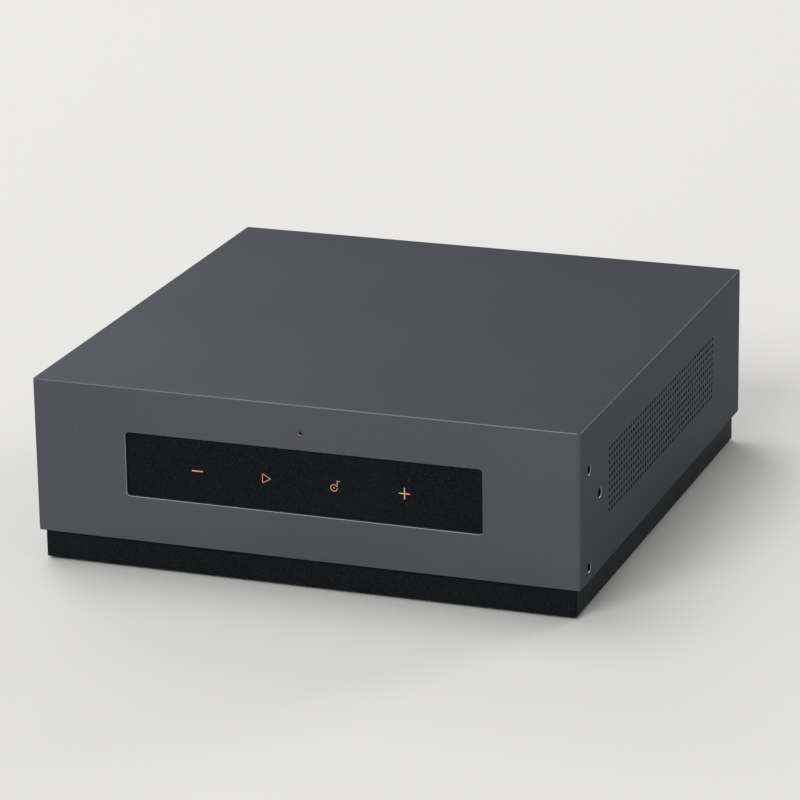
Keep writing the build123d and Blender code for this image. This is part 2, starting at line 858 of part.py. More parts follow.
def make_setup_button():
    """The button that is pressed through the panel to set the amplifier up."""
    z = board_top + setup_height
    far = panel_out + setup_button_proud
    button = stub_behind(setup_x, z, far - setup_button_length, far, setup_button_radius, round_sides)
    collar_back = panel_in - slip
    return button + stub_behind(setup_x, z, collar_back - setup_collar_thickness, collar_back,
                                setup_collar_radius)


def make_setup_switch():
    """The switch behind the setup button."""
    far = panel_out + setup_button_proud - setup_button_length - setup_travel - setup_stop_gap
    return on_board(setup_x, setup_switch_size, setup_switch_size, far - setup_switch_depth, far)


def make_standoffs():
    """Hexagon standoffs from the tray's floor to the boards."""
    outline = RegularPolygon(standoff_across / 2, 6, major_radius=False)
    solids = []
    for x, y in standoff_places():
        spacer = extrude(Pos(x, y, tray_top) * outline, board_underside - tray_top)
        solids.append(spacer - stub(x, y, board_top - board_screw_length, board_underside,
                                    board_screw_radius))
    return solids


def make_board_screws():
    """Screws that hold both boards on the standoffs."""
    low = board_top - board_screw_length
    return [stub(x, y, board_top, board_top + board_screw_head_height, board_screw_head_radius)
            + stub(x, y, low, board_top, board_screw_radius) for x, y in standoff_places()]


def board_plate(left, right, front):
    """A board cut round its screws and round the lugs that pass its edge."""
    board = block(left, right, front, board_back, board_underside, board_top)
    board -= [stub(x, y, board_underside, board_top, board_screw_radius + screw_play)
              for x, y in standoff_places()]
    reach = lug_length / 2 + lug_notch_gap
    edge = inside_x - lug_width - lug_notch_gap
    board -= [block(min(s * edge, s * inside_x), max(s * edge, s * inside_x), y - reach, y + reach,
                    board_underside, board_top) for s in (-1, 1) for y in {y for x, y in lug_places()}]
    return board


def make_main_board():
    """The circuit board that carries the player, the amplifier and the sockets."""
    return board_plate(main_left, board_right, main_front)


def make_power_board():
    """The circuit board of the mains supply."""
    return board_plate(power_left, power_right, power_front)


def sink_middle():
    """Middle of the amplifier's heat sink on the main board."""
    return (main_left + board_right) / 2, main_front + heat_sink_front_gap + heat_sink_depth / 2


def make_chips():
    """The amplifier chips under the heat sink."""
    x, y = sink_middle()
    pitch = heat_sink_width / (chip_count + 1)
    first = x - (chip_count - 1) * pitch / 2
    return [on_board(first + i * pitch, chip_width, chip_thickness, y - chip_depth / 2, y + chip_depth / 2)
            for i in range(chip_count)]


def make_heat_sink():
    """The extruded heat sink that lies on the amplifier chips."""
    x, y = sink_middle()
    low = board_top + chip_thickness
    y0, y1 = y - heat_sink_depth / 2, y + heat_sink_depth / 2
    sink = block(x - heat_sink_width / 2, x + heat_sink_width / 2, y0, y1, low, low + heat_sink_base)
    pitch = (heat_sink_width - heat_sink_fin) / (heat_sink_fins - 1)
    first = x - heat_sink_width / 2 + heat_sink_fin / 2
    return sink + [block(first + i * pitch - heat_sink_fin / 2, first + i * pitch + heat_sink_fin / 2,
                         y0, y1, low + heat_sink_base, low + heat_sink_height) for i in range(heat_sink_fins)]


def make_chokes():
    """The output chokes beside the heat sink."""
    x, y = sink_middle()
    front = y + heat_sink_depth / 2 + choke_gap
    pitch = heat_sink_width / choke_count
    first = x - (choke_count - 1) * pitch / 2
    return [on_board(first + i * pitch, choke_size, choke_height, front, front + choke_size)
            for i in range(choke_count)]


def make_module():
    """The wireless player module under its can."""
    back = flush_face - display_depth - module_gap
    return on_board(display_x, module_width, module_height, back - module_depth, back)


def make_aerials():
    """Two printed aerials bonded upright behind the tray's front wall."""
    y = tray_front + tray_wall
    outer = tray_x - tray_wall - aerial_inset
    return [block(s * outer, s * (outer - aerial_length), y, y + aerial_thickness,
                  tray_top, tray_top + aerial_height) for s in (-1, 1)]


def supply_middle():
    """Sideways middle of the parts on the power board."""
    return (power_left + power_right) / 2


def make_transformer_core():
    """The ferrite frame of the mains transformer, with a middle leg."""
    x, y0 = supply_middle(), core_front()
    core = on_board(x, core_width, core_height, y0 + core_leg, y0 + core_depth - core_leg)
    gap = (core_width - 3 * core_leg) / 2
    for s in (-1, 1):
        middle = x + s * (core_leg + gap) / 2
        core -= block(middle - gap / 2, middle + gap / 2, y0, y0 + core_depth,
                      board_top + core_leg / 2, board_top + core_height - core_leg / 2)
    return core


def core_front():
    """Front of the mains transformer."""
    return power_front + core_setback


def make_transformer_winding():
    """The taped winding round the core's middle leg."""
    x, y0 = supply_middle(), core_front()
    gap = (core_width - 3 * core_leg) / 2
    half = core_leg / 2 + gap - winding_margin
    low, high = board_top + core_leg / 2 + slip, board_top + core_height - core_leg / 2 - slip
    winding = block(x - half, x + half, y0, y0 + core_depth, low, high)
    return winding - block(x - core_leg / 2, x + core_leg / 2, y0 + core_leg,
                           y0 + core_depth - core_leg, low, high)


def make_capacitors():
    """The reservoir capacitors at the front of the power board."""
    y = power_front + capacitor_front_gap + capacitor_radius
    pitch = 2 * capacitor_radius + capacitor_gap
    first = supply_middle() - (capacitor_count - 1) * pitch / 2
    top = inside_top - capacitor_top_gap
    return [stub(first + i * pitch, y, board_top, top, capacitor_radius, round_sides)
            for i in range(capacitor_count)]


def make_filter():
    """The mains filter choke."""
    front = core_front() + core_depth + filter_gap
    return on_board(supply_middle() - filter_width / 2, filter_width, filter_height,
                    front, front + filter_depth)


def make_fuse():
    """The fuse that lies on the power board."""
    y = core_front() + core_depth + filter_gap
    return behind(RegularPolygon(fuse_radius, round_sides), supply_middle() + filter_width / 2,
                  board_top + fuse_radius, y, y + fuse_length)


def make_switch_sink():
    """The plate that cools the supply's transistors."""
    y = core_front() - switch_sink_gap
    return on_board(supply_middle(), switch_sink_width, switch_sink_height, y - switch_sink_thickness, y)


def make_ribbon():
    """The flat cable from the sensor board back to the main board."""
    x = main_left + ribbon_inset
    start = y_front + cover_wall + lens_thickness + touch_board_thickness
    end = main_front + ribbon_lap
    rest = board_top + ribbon_thickness / 2
    route = FilletPolyline(
        (x, start, window_middle), (x, start + ribbon_sag, window_middle),
        (x, main_front - ribbon_sag, rest), (x, end, rest), radius=ribbon_bend)
    section = Plane(origin=(x, start, window_middle), x_dir=(1, 0, 0), z_dir=(0, 1, 0)) * Rectangle(
        ribbon_width, ribbon_thickness)
    return sweep(section, path=route)


def make_link():
    """The flat lead that brings the supply's current to the main board."""
    y = core_front() + core_depth
    x0, x1 = power_right - link_plug_depth, main_left + link_plug_depth
    outline = Polyline((x0, 0), (x0, link_rise), (x1, link_rise), (x1, 0),
                       (x1 - link_thickness, 0), (x1 - link_thickness, link_rise - link_thickness),
                       (x0 + link_thickness, link_rise - link_thickness), (x0 + link_thickness, 0),
                       close=True)
    plane = Plane(origin=(0, y, board_top), x_dir=(1, 0, 0), z_dir=(0, -1, 0))
    return extrude(plane * make_face(outline), link_width)


def save(name, shape):
    """Writes one sub-part, which may be a list of separate solids."""
    solids = shape if isinstance(shape, list) else [shape]
    whole = Compound(children=[solid for piece in solids for solid in piece.solids()])
    whole.label = name
    export_step(whole, os.path.join("parts", name + ".step"))


def main():
    """Builds each sub-part and writes it."""
    os.makedirs("parts", exist_ok=True)
    makers = {
        "cover": make_cover, "plinth_tray": make_tray, "rubber_feet": make_feet,
        "cover_lugs": make_lugs, "cover_screws": make_cover_screws, "rack_nuts": make_rack_nuts,
        "touch_lens": make_lens, "touch_board": make_touch_board, "status_light_pipe": make_light_pipe,
        "rear_panel": make_panel, "panel_brackets": make_panel_brackets, "panel_screws": make_panel_screws,
        "phono_bodies": make_phono_bodies, "phono_barrels": make_phono_barrels,
        "terminal_plate": make_terminal_plate, "post_studs": make_studs, "post_nuts": make_stud_nuts,
        "terminal_board": make_terminal_board, "mains_inlet": make_inlet, "mains_pins": make_inlet_pins,
        "optical_socket": make_optical_body, "optical_shutter": make_shutter,
        "trigger_jack": make_trigger_jack,
        "display_shell": make_display_shell, "display_tongue": make_display_tongue,
        "data_shell": make_data_shell, "data_tongue": make_data_tongue, "network_socket": make_network_socket,
        "setup_button": make_setup_button, "setup_switch": make_setup_switch,
        "board_standoffs": make_standoffs, "board_screws": make_board_screws,
        "main_board": make_main_board, "power_board": make_power_board,
        "amplifier_chips": make_chips, "heat_sink": make_heat_sink, "output_chokes": make_chokes,
        "player_module": make_module, "aerials": make_aerials,
        "transformer_core": make_transformer_core, "transformer_winding": make_transformer_winding,
        "reservoir_capacitors": make_capacitors, "mains_filter": make_filter, "mains_fuse": make_fuse,
        "supply_heat_plate": make_switch_sink, "touch_ribbon": make_ribbon, "supply_lead": make_link,
    }
    for name, make in makers.items():
        save(name, make())
    for place, name in enumerate(("red", "white", "black")):
        save("phono_insert_" + name, make_phono_insert(place))
    for place, name in enumerate(("left_plus", "right_plus", "left_minus", "right_minus")):
        save("post_washer_" + name, make_post_washer(place))
        save("post_cap_" + name, make_post_cap(place))


main()
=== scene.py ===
"""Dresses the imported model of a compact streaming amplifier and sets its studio.

Lengths inside the classes are millimetres in the part's own frame: +X to the right seen from
the front, +Y to the rear, +Z up. A mesh is turned to metres once, when its piece is made.
"""
import logging
import math
from collections.abc import Sequence
from dataclasses import dataclass, field
from enum import Enum, IntEnum

import bmesh
import bpy
import numpy as np
from mathutils import Matrix, Vector


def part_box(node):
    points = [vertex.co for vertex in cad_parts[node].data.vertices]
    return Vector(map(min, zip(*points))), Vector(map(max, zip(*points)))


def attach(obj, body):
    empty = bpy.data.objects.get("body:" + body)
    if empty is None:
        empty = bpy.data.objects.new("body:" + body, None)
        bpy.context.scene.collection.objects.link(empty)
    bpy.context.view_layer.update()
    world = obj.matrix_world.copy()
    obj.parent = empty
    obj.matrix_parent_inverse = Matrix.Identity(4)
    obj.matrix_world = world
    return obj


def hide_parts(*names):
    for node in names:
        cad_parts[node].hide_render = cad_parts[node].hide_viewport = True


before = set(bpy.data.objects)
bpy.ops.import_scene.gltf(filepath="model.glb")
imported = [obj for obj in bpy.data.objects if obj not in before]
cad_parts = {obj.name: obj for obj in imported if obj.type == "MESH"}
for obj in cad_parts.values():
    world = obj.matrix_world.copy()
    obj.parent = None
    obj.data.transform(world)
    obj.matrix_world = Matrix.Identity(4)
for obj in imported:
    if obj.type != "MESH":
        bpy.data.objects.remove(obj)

LOG = logging.getLogger("amplifier")
MM = 0.001

WELD = 2e-6                 # metres within which points of a piece become one
INK_HEIGHT = 0.02           # of a printed sign above its surface
PATCH_SHARE = 0.4           # of the slow patches in the mix that tone and roughness follow
TONE_RANGE = (0.38, 0.62)   # of that mix, from the main colour to the accent
ROUGH_RANGE = (0.3, 0.7)    # of that mix, from the least roughness to the most
SHINE_TOP = 0.62            # of the grain's noise, which hardly any grain passes
SHINE_FALL = 0.5            # how far that bound would fall for all grains to shine
SHINE_WIDTH = 0.08          # over which a grain comes to shine
NOSE_RADIUS = 3.0           # of the trigger jack, in its opening in the panel
ROD_RADIUS = 1.9            # of the setup button, in its own
INLET_LAP = 2.0             # of the mains inlet's rim over the panel


class Facing(Enum):
    """Which way a local +w points, as the world directions of local p, q and w."""

    FRONT = ((1, 0, 0), (0, 0, 1), (0, -1, 0))
    REAR = ((-1, 0, 0), (0, 0, 1), (0, 1, 0))
    LEFT = ((0, -1, 0), (0, 0, 1), (-1, 0, 0))
    RIGHT = ((0, 1, 0), (0, 0, 1), (1, 0, 0))
    UP = ((1, 0, 0), (0, 1, 0), (0, 0, 1))
    DOWN = ((1, 0, 0), (0, -1, 0), (0, 0, -1))


class Pattern(Enum):
    """How a surface's grain lies, as the scale of its noise along X, Y and Z."""

    GRIT = (1.0, 1.0, 1.0)        # blasted, sprayed, moulded or eroded: even grains
    BRUSHED = (0.04, 1.0, 1.0)    # drawn or rolled: streaks along X
    WOUND = (0.02, 0.02, 1.0)     # wire or tape: turns one above the other


class Surface(IntEnum):
    """Which of the cover's finishes a face has, by its number."""

    SHEET = 0
    # Cut faces and bevels, partly smoother metal and partly lightened as a painted highlight.
    CUT_HIGHLIGHT = 1
    # Walls of drilled holes, whose near-black colour is painted shade.
    DRILLED_SHADE = 2


def linear(code: str) -> tuple[float, float, float, float]:
    """Turns an sRGB hex value to linear light.

    A share of full light up to 0.04045 is divided by 12.92. A larger one is raised by 0.055,
    divided by 1.055 and taken to the power of 2.4.

    Args:
        code: "#RRGGBB".

    Returns:
        Linear red, green and blue, and an alpha of 1.
    """
    part = [int(code[i:i + 2], 16) / 255 for i in (1, 3, 5)]
    red, green, blue = (c / 12.92 if c <= 0.04045 else ((c + 0.055) / 1.055) ** 2.4 for c in part)
    return red, green, blue, 1.0


def add_node(tree: bpy.types.NodeTree, kind: str, settings: dict | None = None,
             links: dict | None = None) -> bpy.types.Node:
    """Adds a shader node with its settings and links.

    Args:
        tree: The tree that the node joins.
        kind: Its type.
        settings: Values of sockets, by name or number, and of properties, by name.
        links: The output that each named or numbered socket takes.

    Returns:
        The node.
    """
    node = tree.nodes.new(kind)
    for key, value in (settings or {}).items():
        if isinstance(key, int) or key in node.inputs:
            node.inputs[key].default_value = value
        else:
            setattr(node, key, value)
    for key, socket in (links or {}).items():
        tree.links.new(socket, node.inputs[key])
    return node


@dataclass(frozen=True)
class Finish:
    """A real surface: what it is made of and how, with sizes in millimetres.

    Args:
        name: Material and process.
        colour: Its main colour, sRGB.
        accent: The colour that its grains or patches lean to, sRGB.
        roughness: Middle of its roughness.
        grain: Size of its smallest grain, streak or turn.
        depth: Height of that grain.
        pattern: How the grain lies.
        metallic: 1 for bare metal.
        spread: How far roughness varies each way.
        patch: Size of its slow changes of tone.
        gloss: Strength of the mirrored light of what isn't metal; half is the usual one.
        rim: Tint of what is mirrored at a grazing angle, sRGB.
        coat: Weight of a clear coat.
        clear: Share of light let through.
        specks: Colour of the grains that shine, sRGB, or nothing.
        lit: Share of those grains.
    """

    name: str
    colour: str
    accent: str
    roughness: float
    grain: float
    depth: float
    pattern: Pattern = Pattern.GRIT
    metallic: float = 0.0
    spread: float = 0.05
    patch: float = 35.0
    gloss: float = 0.5
    rim: str = "#FFFFFF"
    coat: float = 0.0
    clear: float = 0.0
    specks: str = ""
    lit: float = 0.1

    def tone(self, tree: bpy.types.NodeTree, grain: bpy.types.NodeSocket,
             both: bpy.types.NodeSocket) -> bpy.types.NodeSocket:
        """Adds the nodes of the colour: the main one, the accent and the grains that shine.

        Args:
            tree: The material's tree.
            grain: The fine noise.
            both: The mix of the fine noise and the slow one.

        Returns:
            The colour's output.
        """
        lean = add_node(tree, "ShaderNodeMapRange",
                        {"From Min": TONE_RANGE[0], "From Max": TONE_RANGE[1]},
                        {"Value": both}).outputs["Result"]
        colour = add_node(tree, "ShaderNodeMix",
                          {"data_type": "RGBA", 6: linear(self.colour), 7: linear(self.accent)},
                          {0: lean}).outputs[2]
        if not self.specks:
            return colour
        bound = SHINE_TOP - SHINE_FALL * self.lit
        shine = add_node(tree, "ShaderNodeMapRange", {"From Min": bound, "From Max": bound + SHINE_WIDTH},
                         {"Value": grain}).outputs["Result"]
        return add_node(tree, "ShaderNodeMix", {"data_type": "RGBA", 7: linear(self.specks)},
                        {0: shine, 6: colour}).outputs[2]

    def material(self) -> bpy.types.Material:
        """Makes the material, or finds it where it is made already.

        Tone and roughness follow a mix of the fine grain and the slow patches, and the bump
        follows the grain.

        Returns:
            A node material on Object coordinates.
        """
        found = bpy.data.materials.get(self.name)
        if found:
            return found
        made = bpy.data.materials.new(self.name)
        made.use_nodes = True
        tree = made.node_tree
        shader = tree.nodes["Principled BSDF"]
        for socket, value in (("Metallic", self.metallic), ("Specular IOR Level", self.gloss),
                              ("Specular Tint", linear(self.rim)), ("Coat Weight", self.coat),
                              ("Transmission Weight", self.clear)):
            shader.inputs[socket].default_value = value
        place = add_node(tree, "ShaderNodeTexCoord").outputs["Object"]
        scaled = add_node(tree, "ShaderNodeMapping", {"Scale": self.pattern.value},
                          {"Vector": place}).outputs["Vector"]
        grain = add_node(tree, "ShaderNodeTexNoise",
                         {"Scale": 1000 / self.grain, "Detail": 3.0, "Roughness": 0.6},
                         {"Vector": scaled}).outputs["Fac"]
        patch = add_node(tree, "ShaderNodeTexNoise",
                         {"Scale": 1000 / self.patch, "Detail": 3.0, "Roughness": 0.5},
                         {"Vector": place}).outputs["Fac"]
        both = add_node(tree, "ShaderNodeMix", {"Factor": PATCH_SHARE},
                        {"A": grain, "B": patch}).outputs["Result"]
        rough = add_node(tree, "ShaderNodeMapRange",
                         {"From Min": ROUGH_RANGE[0], "From Max": ROUGH_RANGE[1],
                          "To Min": self.roughness - self.spread, "To Max": self.roughness + self.spread},
                         {"Value": both})
        bump = add_node(tree, "ShaderNodeBump", {"Strength": 1.0, "Distance": self.depth * MM},
                        {"Height": grain})
        tree.links.new(self.tone(tree, grain, both), shader.inputs["Base Color"])
        tree.links.new(rough.outputs["Result"], shader.inputs["Roughness"])
        tree.links.new(bump.outputs["Normal"], shader.inputs["Normal"])
        return made


# Aluminium sheet, bead blasted and anodised dark grey: a soft satin with a very fine sparkle.
# The dyed layer swallows light that meets it at a grazing angle, so the sheet stays dark there.
# The real grit is near 0.1 mm and is drawn three times as coarse to show.
BLASTED = Finish("aluminium_bead_blasted_anodised", "#5A5C61", "#55575C", 0.44, 0.33, 0.010,
                 metallic=0.85, spread=0.015, patch=60, rim="#8E8E90", specks="#626469", lit=0.1)
# The same sheet where it is cut: the tool leaves it smoother, and its colour is lightened as a painted
# highlight, so it glints as a line.
BURNISHED_HIGHLIGHT = Finish("aluminium_machined_edge_painted_highlight", "#A6A8AD", "#9C9EA3", 0.34, 0.3, 0.002,
                   metallic=0.9, spread=0.03)
# The walls of its drilled holes: rough, and painted near black as the shade inside the holes, so they read as
# black dots.
BORED_SHADE = Finish("aluminium_drilled_painted_shade", "#17181A", "#1F2022", 0.7, 0.3, 0.004, metallic=0.5,
               spread=0.03, rim="#404040")
# ABS from a spark-eroded mould: black with an even, dull grain of 0.7 mm.
ERODED = Finish("abs_spark_eroded_black", "#0D0F11", "#15181A", 0.62, 0.7, 0.04, spread=0.08, gloss=0.06,
                specks="#202428", lit=0.08)
# Acrylic with a hard textured film: near black, grainy, with pinpoints that catch the light.
ACRYLIC = Finish("acrylic_textured_film", "#0B0D0F", "#121518", 0.5, 0.5, 0.03, spread=0.08,
                 gloss=0.06, specks="#1F2326")
# Copper-coloured ink printed on the film: a warm, slightly shiny line.
INK = Finish("ink_printed_copper", "#D8AB90", "#CFA186", 0.45, 0.25, 0.002, gloss=0.3)
# White ink on the terminal plate: an even, dull white.
INK_WHITE = Finish("ink_printed_white", "#D8D8D4", "#CDCDC9", 0.5, 0.25, 0.002, gloss=0.3)
# Clear acrylic rod over a red lamp that is off: a dark, reddish dot.
LAMP = Finish("acrylic_tinted_red", "#2E1119", "#260D14", 0.3, 0.4, 0.001, gloss=0.2)
# Steel sheet with a fine textured powder coat: an orange-peel grain of 0.7 mm.
POWDER = Finish("steel_powder_coated_black", "#1B1C1E", "#232527", 0.5, 0.7, 0.03, spread=0.06, gloss=0.3)
# Steel with black oxide: dark and a little oily.
OXIDE = Finish("steel_black_oxide", "#1D1E20", "#2A2B2E", 0.35, 0.4, 0.004, metallic=0.9)
# Zinc-plated steel: bluish white, clouded by handling.
ZINC = Finish("steel_zinc_plated", "#B9BDC2", "#A4A9AF", 0.3, 0.6, 0.003, metallic=1.0, patch=6)
# Rolled aluminium as it leaves the mill: pale with streaks along the sheet.
MILL = Finish("aluminium_rolled", "#C6C8CA", "#AFB2B5", 0.34, 0.3, 0.003, Pattern.BRUSHED, metallic=1.0)
# Anodised black extrusion: dull metal with drawn streaks.
EXTRUSION = Finish("aluminium_extruded_black", "#26272A", "#1D1E20", 0.45, 0.4, 0.004,
                   Pattern.BRUSHED, metallic=0.8)
# Brass turned and plated with gold: warm and bright, a little uneven.
GOLD = Finish("brass_gold_plated", "#D9AE5C", "#C99C49", 0.2, 0.3, 0.002, metallic=1.0, patch=8)
# Copper alloy pressed and plated with nickel: a warm silver.
NICKEL = Finish("alloy_nickel_plated", "#BDBAB4", "#A9A6A0", 0.27, 0.4, 0.003, metallic=1.0, patch=7)
# Thermoplastic moulded in steel tools, glossy where the tool was polished.
PLASTIC_BLACK = Finish("pbt_moulded_black", "#1A1B1D", "#222426", 0.42, 0.35, 0.004)
PLASTIC_WHITE = Finish("pbt_moulded_white", "#DAD9D4", "#CFCEC8", 0.42, 0.35, 0.004)
PLASTIC_RED = Finish("pbt_moulded_red", "#A31B1E", "#8F1518", 0.4, 0.35, 0.004)
CAP_BLACK = Finish("abs_polished_black", "#141516", "#1C1D1F", 0.24, 0.5, 0.002, coat=0.3)
CAP_RED = Finish("abs_polished_red", "#9C1518", "#8A1013", 0.24, 0.5, 0.002, coat=0.3)
# Moulded nitrile rubber: dull charcoal with a faint bloom.
RUBBER = Finish("rubber_moulded_black", "#202123", "#2B2C2E", 0.78, 0.5, 0.02, patch=9)
# Glass epoxy board under green solder mask: glossy, and the weave shows as a fine grain.
BOARD = Finish("glass_epoxy_solder_mask", "#14452B", "#1B5535", 0.32, 0.5, 0.006, coat=0.3, patch=14)
# Moulded epoxy chips and chokes: charcoal with a dry, fine grain.
EPOXY = Finish("epoxy_moulded_charcoal", "#242527", "#2E2F31", 0.6, 0.25, 0.01)
# Sintered ferrite: dark grey, dry, with a ground face.
FERRITE = Finish("ferrite_sintered", "#3A3B3D", "#2E2F31", 0.55, 0.5, 0.01, metallic=0.2)
# Polyester tape over a winding: amber bands.
TAPE = Finish("polyester_tape_wound", "#C79A2E", "#AE8122", 0.3, 1.2, 0.05, Pattern.WOUND, coat=0.4)
# Shrunk sleeve on a capacitor: dark blue-black and glossy.
SLEEVE = Finish("polyester_shrunk_sleeve", "#161A2B", "#1E2338", 0.25, 1.5, 0.01, coat=0.4)
# Flat cable of tinned conductors in clear polyester: pale with silvery streaks.
RIBBON = Finish("polyester_flat_cable", "#D3D4D2", "#B4B6B6", 0.3, 0.9, 0.02, Pattern.WOUND, coat=0.3)
# Glass tube of a fuse: clear and bright.
GLASS = Finish("glass_drawn_tube", "#DDE6E6", "#CFDADA", 0.05, 2.0, 0.001, clear=0.6)
# Backdrop paper of the studio: pale, matt and even.
PAPER = Finish("paper_matt_backdrop", "#E2E1DF", "#E2E1DF", 0.9, 3.0, 0.001, spread=0.02)


@dataclass
class Patch:
    """Part of a surface: its points and its faces, each array of faces with one corner count.

    Args:
        points: One row of three lengths for each point.
        faces: Index arrays, or one list of indices for a face of many corners.
        smooth: Whether each entry of faces is shaded as curved.
        finish: Which of the piece's finishes each entry has; empty for a piece with one.
    """

    points: np.ndarray
    faces: list = field(default_factory=list)
    smooth: list[bool] = field(default_factory=list)
    finish: list[int] = field(default_factory=list)

    def placed(self, facing: Facing, origin: Sequence[float]) -> "Patch":
        """Turns the local p, q, w of the points to the world and moves them.

        Args:
            facing: Where local +w points.
            origin: World place of the local origin.

        Returns:
            The patch in world axes.
        """
        world = self.points @ np.array(facing.value, float) + np.array(origin, float)
        return Patch(world, self.faces, self.smooth, self.finish)


def join(patches: Sequence[Patch]) -> Patch:
    """Puts patches together, with each one's face indices moved on by the points before it.

    Args:
        patches: The patches, each of one finish.

    Returns:
        One patch.
    """
    starts = np.cumsum([0] + [len(patch.points) for patch in patches[:-1]])
    faces = [np.asarray(face) + start for patch, start in zip(patches, starts) for face in patch.faces]
    smooth = [flag for patch in patches for flag in patch.smooth]
    return Patch(np.concatenate([patch.points for patch in patches]), faces, smooth)


def circle(radius: float, sides: int) -> np.ndarray:
    """Points of a circle, anticlockwise: radius times the cosine and sine of even angles."""
    angle = np.arange(sides) * 2 * math.pi / sides
    return np.stack([radius * np.cos(angle), radius * np.sin(angle)], 1)


def rounded(width: float, height: float, radius: float, steps: int = 5, extra: int = 0) -> np.ndarray:
    """Points of a rectangle with round corners, anticlockwise from the right-hand side.

    Each corner is a quarter circle about a middle that is inset by the radius, so the point at
    angle a is the corner's middle plus radius times (cos a, sin a). Even shares of the way from
    one corner's last point to the next one's first divide the straight sides.

    Args:
        width: Size along local p.
        height: Size along local q.
        radius: Of the corners.
        steps: Segments in each corner.
        extra: Points inside each straight side.

    Returns:
        An array of 4 * (steps + 1 + extra) points.
    """
    turn = np.linspace(0, math.pi / 2, steps + 1)
    angle = turn[None, :] + np.arange(4)[:, None] * math.pi / 2
    signs = np.array([(1, 1), (-1, 1), (-1, -1), (1, -1)])
    radius = max(min(radius, width / 2, height / 2), 0.0)
    middle = signs * np.array([width / 2 - radius, height / 2 - radius])
    arc = middle[:, None, :] + radius * np.stack([np.cos(angle), np.sin(angle)], -1)
    last, share = arc[:, -1:], np.linspace(0, 1, extra + 2)[None, 1:-1, None]
    side = last + (np.roll(arc, -1, 0)[:, :1] - last) * share
    return np.concatenate([arc, side], 1).reshape(-1, 2)


def cross(reach: float, line: float, steps: int = 6) -> np.ndarray:
    """Points of a plus sign: four arms with round ends, anticlockwise.

    One arm is a half circle at its end and the corner where it meets the next arm, and the
    others are that arm turned by quarters.

    Args:
        reach: Length of each line.
        line: Its width.
        steps: Segments in each round end.

    Returns:
        The loop.
    """
    half = line / 2
    angle = np.linspace(-math.pi / 2, math.pi / 2, steps + 1)
    end = np.column_stack([reach / 2 - half + half * np.cos(angle), half * np.sin(angle)])
    arm = np.concatenate([end, [(half, half)]])
    quarter = np.array([(0.0, 1.0), (-1.0, 0.0)])
    return np.concatenate([arm @ np.linalg.matrix_power(quarter, k) for k in range(4)])


def lifted(loop: np.ndarray, w: float) -> np.ndarray:
    """Puts a flat loop at one place along local w."""
    return np.column_stack([loop, np.full(len(loop), w)])


def polar(radius: np.ndarray, along: np.ndarray) -> np.ndarray:
    """Rows of loops round local w: the point at (row, angle a) is (r cos a, r sin a, w).

    Args:
        radius: A row for each loop, with its radius at each of as many even angles.
        along: Their w, with as many columns or with one.

    Returns:
        The rows of loops.
    """
    ring = circle(1.0, radius.shape[1])
    return np.concatenate([radius[..., None] * ring, np.broadcast_to(along, radius.shape)[..., None]], -1)


def turned(profile: Sequence[tuple[float, float]], sides: int) -> np.ndarray:
    """Rows of round loops, one for each radius and w of a profile."""
    rows = np.array(profile, float)
    return polar(np.repeat(rows[:, :1], sides, 1), rows[:, 1:])


def loft(loops: np.ndarray, smooth: bool = True) -> Patch:
    """Skins a pile of closed loops: the point at (row, angle) joins its four neighbours.

    Args:
        loops: Rows of loops of local p, q, w, each anticlockwise seen from +w.
        smooth: Whether the skin is curved.

    Returns:
        A patch that faces outwards where w rises from row to row.
    """
    rows, sides = loops.shape[:2]
    index = np.arange(rows * sides).reshape(rows, sides)
    after = np.roll(index, -1, 1)
    quads = np.stack([index[:-1], after[:-1], after[1:], index[1:]], -1).reshape(-1, 4)
    return Patch(loops.reshape(-1, 3), [quads], [smooth])


def lathe(profile: Sequence[tuple[float, float]], sides: int = 48) -> Patch:
    """Turns a profile round local w and skins it.

    Args:
        profile: Radius and w of each row, with w rising on the outside.
        sides: Points round the axis.

    Returns:
        The turned surface.
    """
    return loft(turned(profile, sides))


def slab(width: float, height: float, radius: float, levels: Sequence[tuple[float, float]],
         ends: tuple[bool, bool] = (True, True), extra: int = 0) -> Patch:
    """Piles rounded rectangles, each taken in by an inset at its own w.

    Args:
        width: Full size along p.
        height: Full size along q.
        radius: Of the full corners.
        levels: Inset and w of each row.
        ends: Whether the first and the last row are drawn in to their middle as flat caps.
        extra: Points inside each straight side.

    Returns:
        The piled surface.
    """
    rows = [rounded(width - 2 * inset, height - 2 * inset, radius - inset, extra=extra)
            for inset, _ in levels]
    heights = [w for _, w in levels]
    middle = np.zeros_like(rows[0])
    if ends[0]:
        rows, heights = [middle, *rows], [heights[0], *heights]
    if ends[1]:
        rows, heights = [*rows, middle], [*heights, heights[-1]]
    return loft(np.array([lifted(row, w) for row, w in zip(rows, heights)]))


def wire(path: Sequence[tuple[float, float]], width: float, gauge: float) -> Patch:
    """A flat wire: the same rectangle at each place of a path, drawn in to a point at both ends.

    Args:
        path: Local q and w of its middle, with w rising.
        width: Size along p.
        gauge: Size along q.

    Returns:
        The wire.
    """
    rows = np.array([path[0], *path, path[-1]], float)
    corner = np.array([(1, 1), (-1, 1), (-1, -1), (1, -1)]) / 2 * (width, gauge)
    share = np.array([0.0] + [1.0] * len(path) + [0.0])[:, None]
    loops = np.stack([share * corner[:, 0], rows[:, :1] + share * corner[:, 1],
                      np.repeat(rows[:, 1:], 4, 1)], -1)
    return loft(loops, False)


def printed(loop: np.ndarray, at: Sequence[float]) -> Patch:
    """A thin printed shape: its loop raised by the ink and drawn in to its middle on both sides.

    Args:
        loop: Its outline.
        at: Where its origin lies on the surface.

    Returns:
        The shape, on local w = 0.
    """
    flat = loop + np.array(at)
    middle = np.tile(flat.mean(0), (len(flat), 1))
    rows = [lifted(middle, 0.0), lifted(flat, 0.0), lifted(flat, INK_HEIGHT), lifted(middle, INK_HEIGHT)]
    return loft(np.array(rows), False)


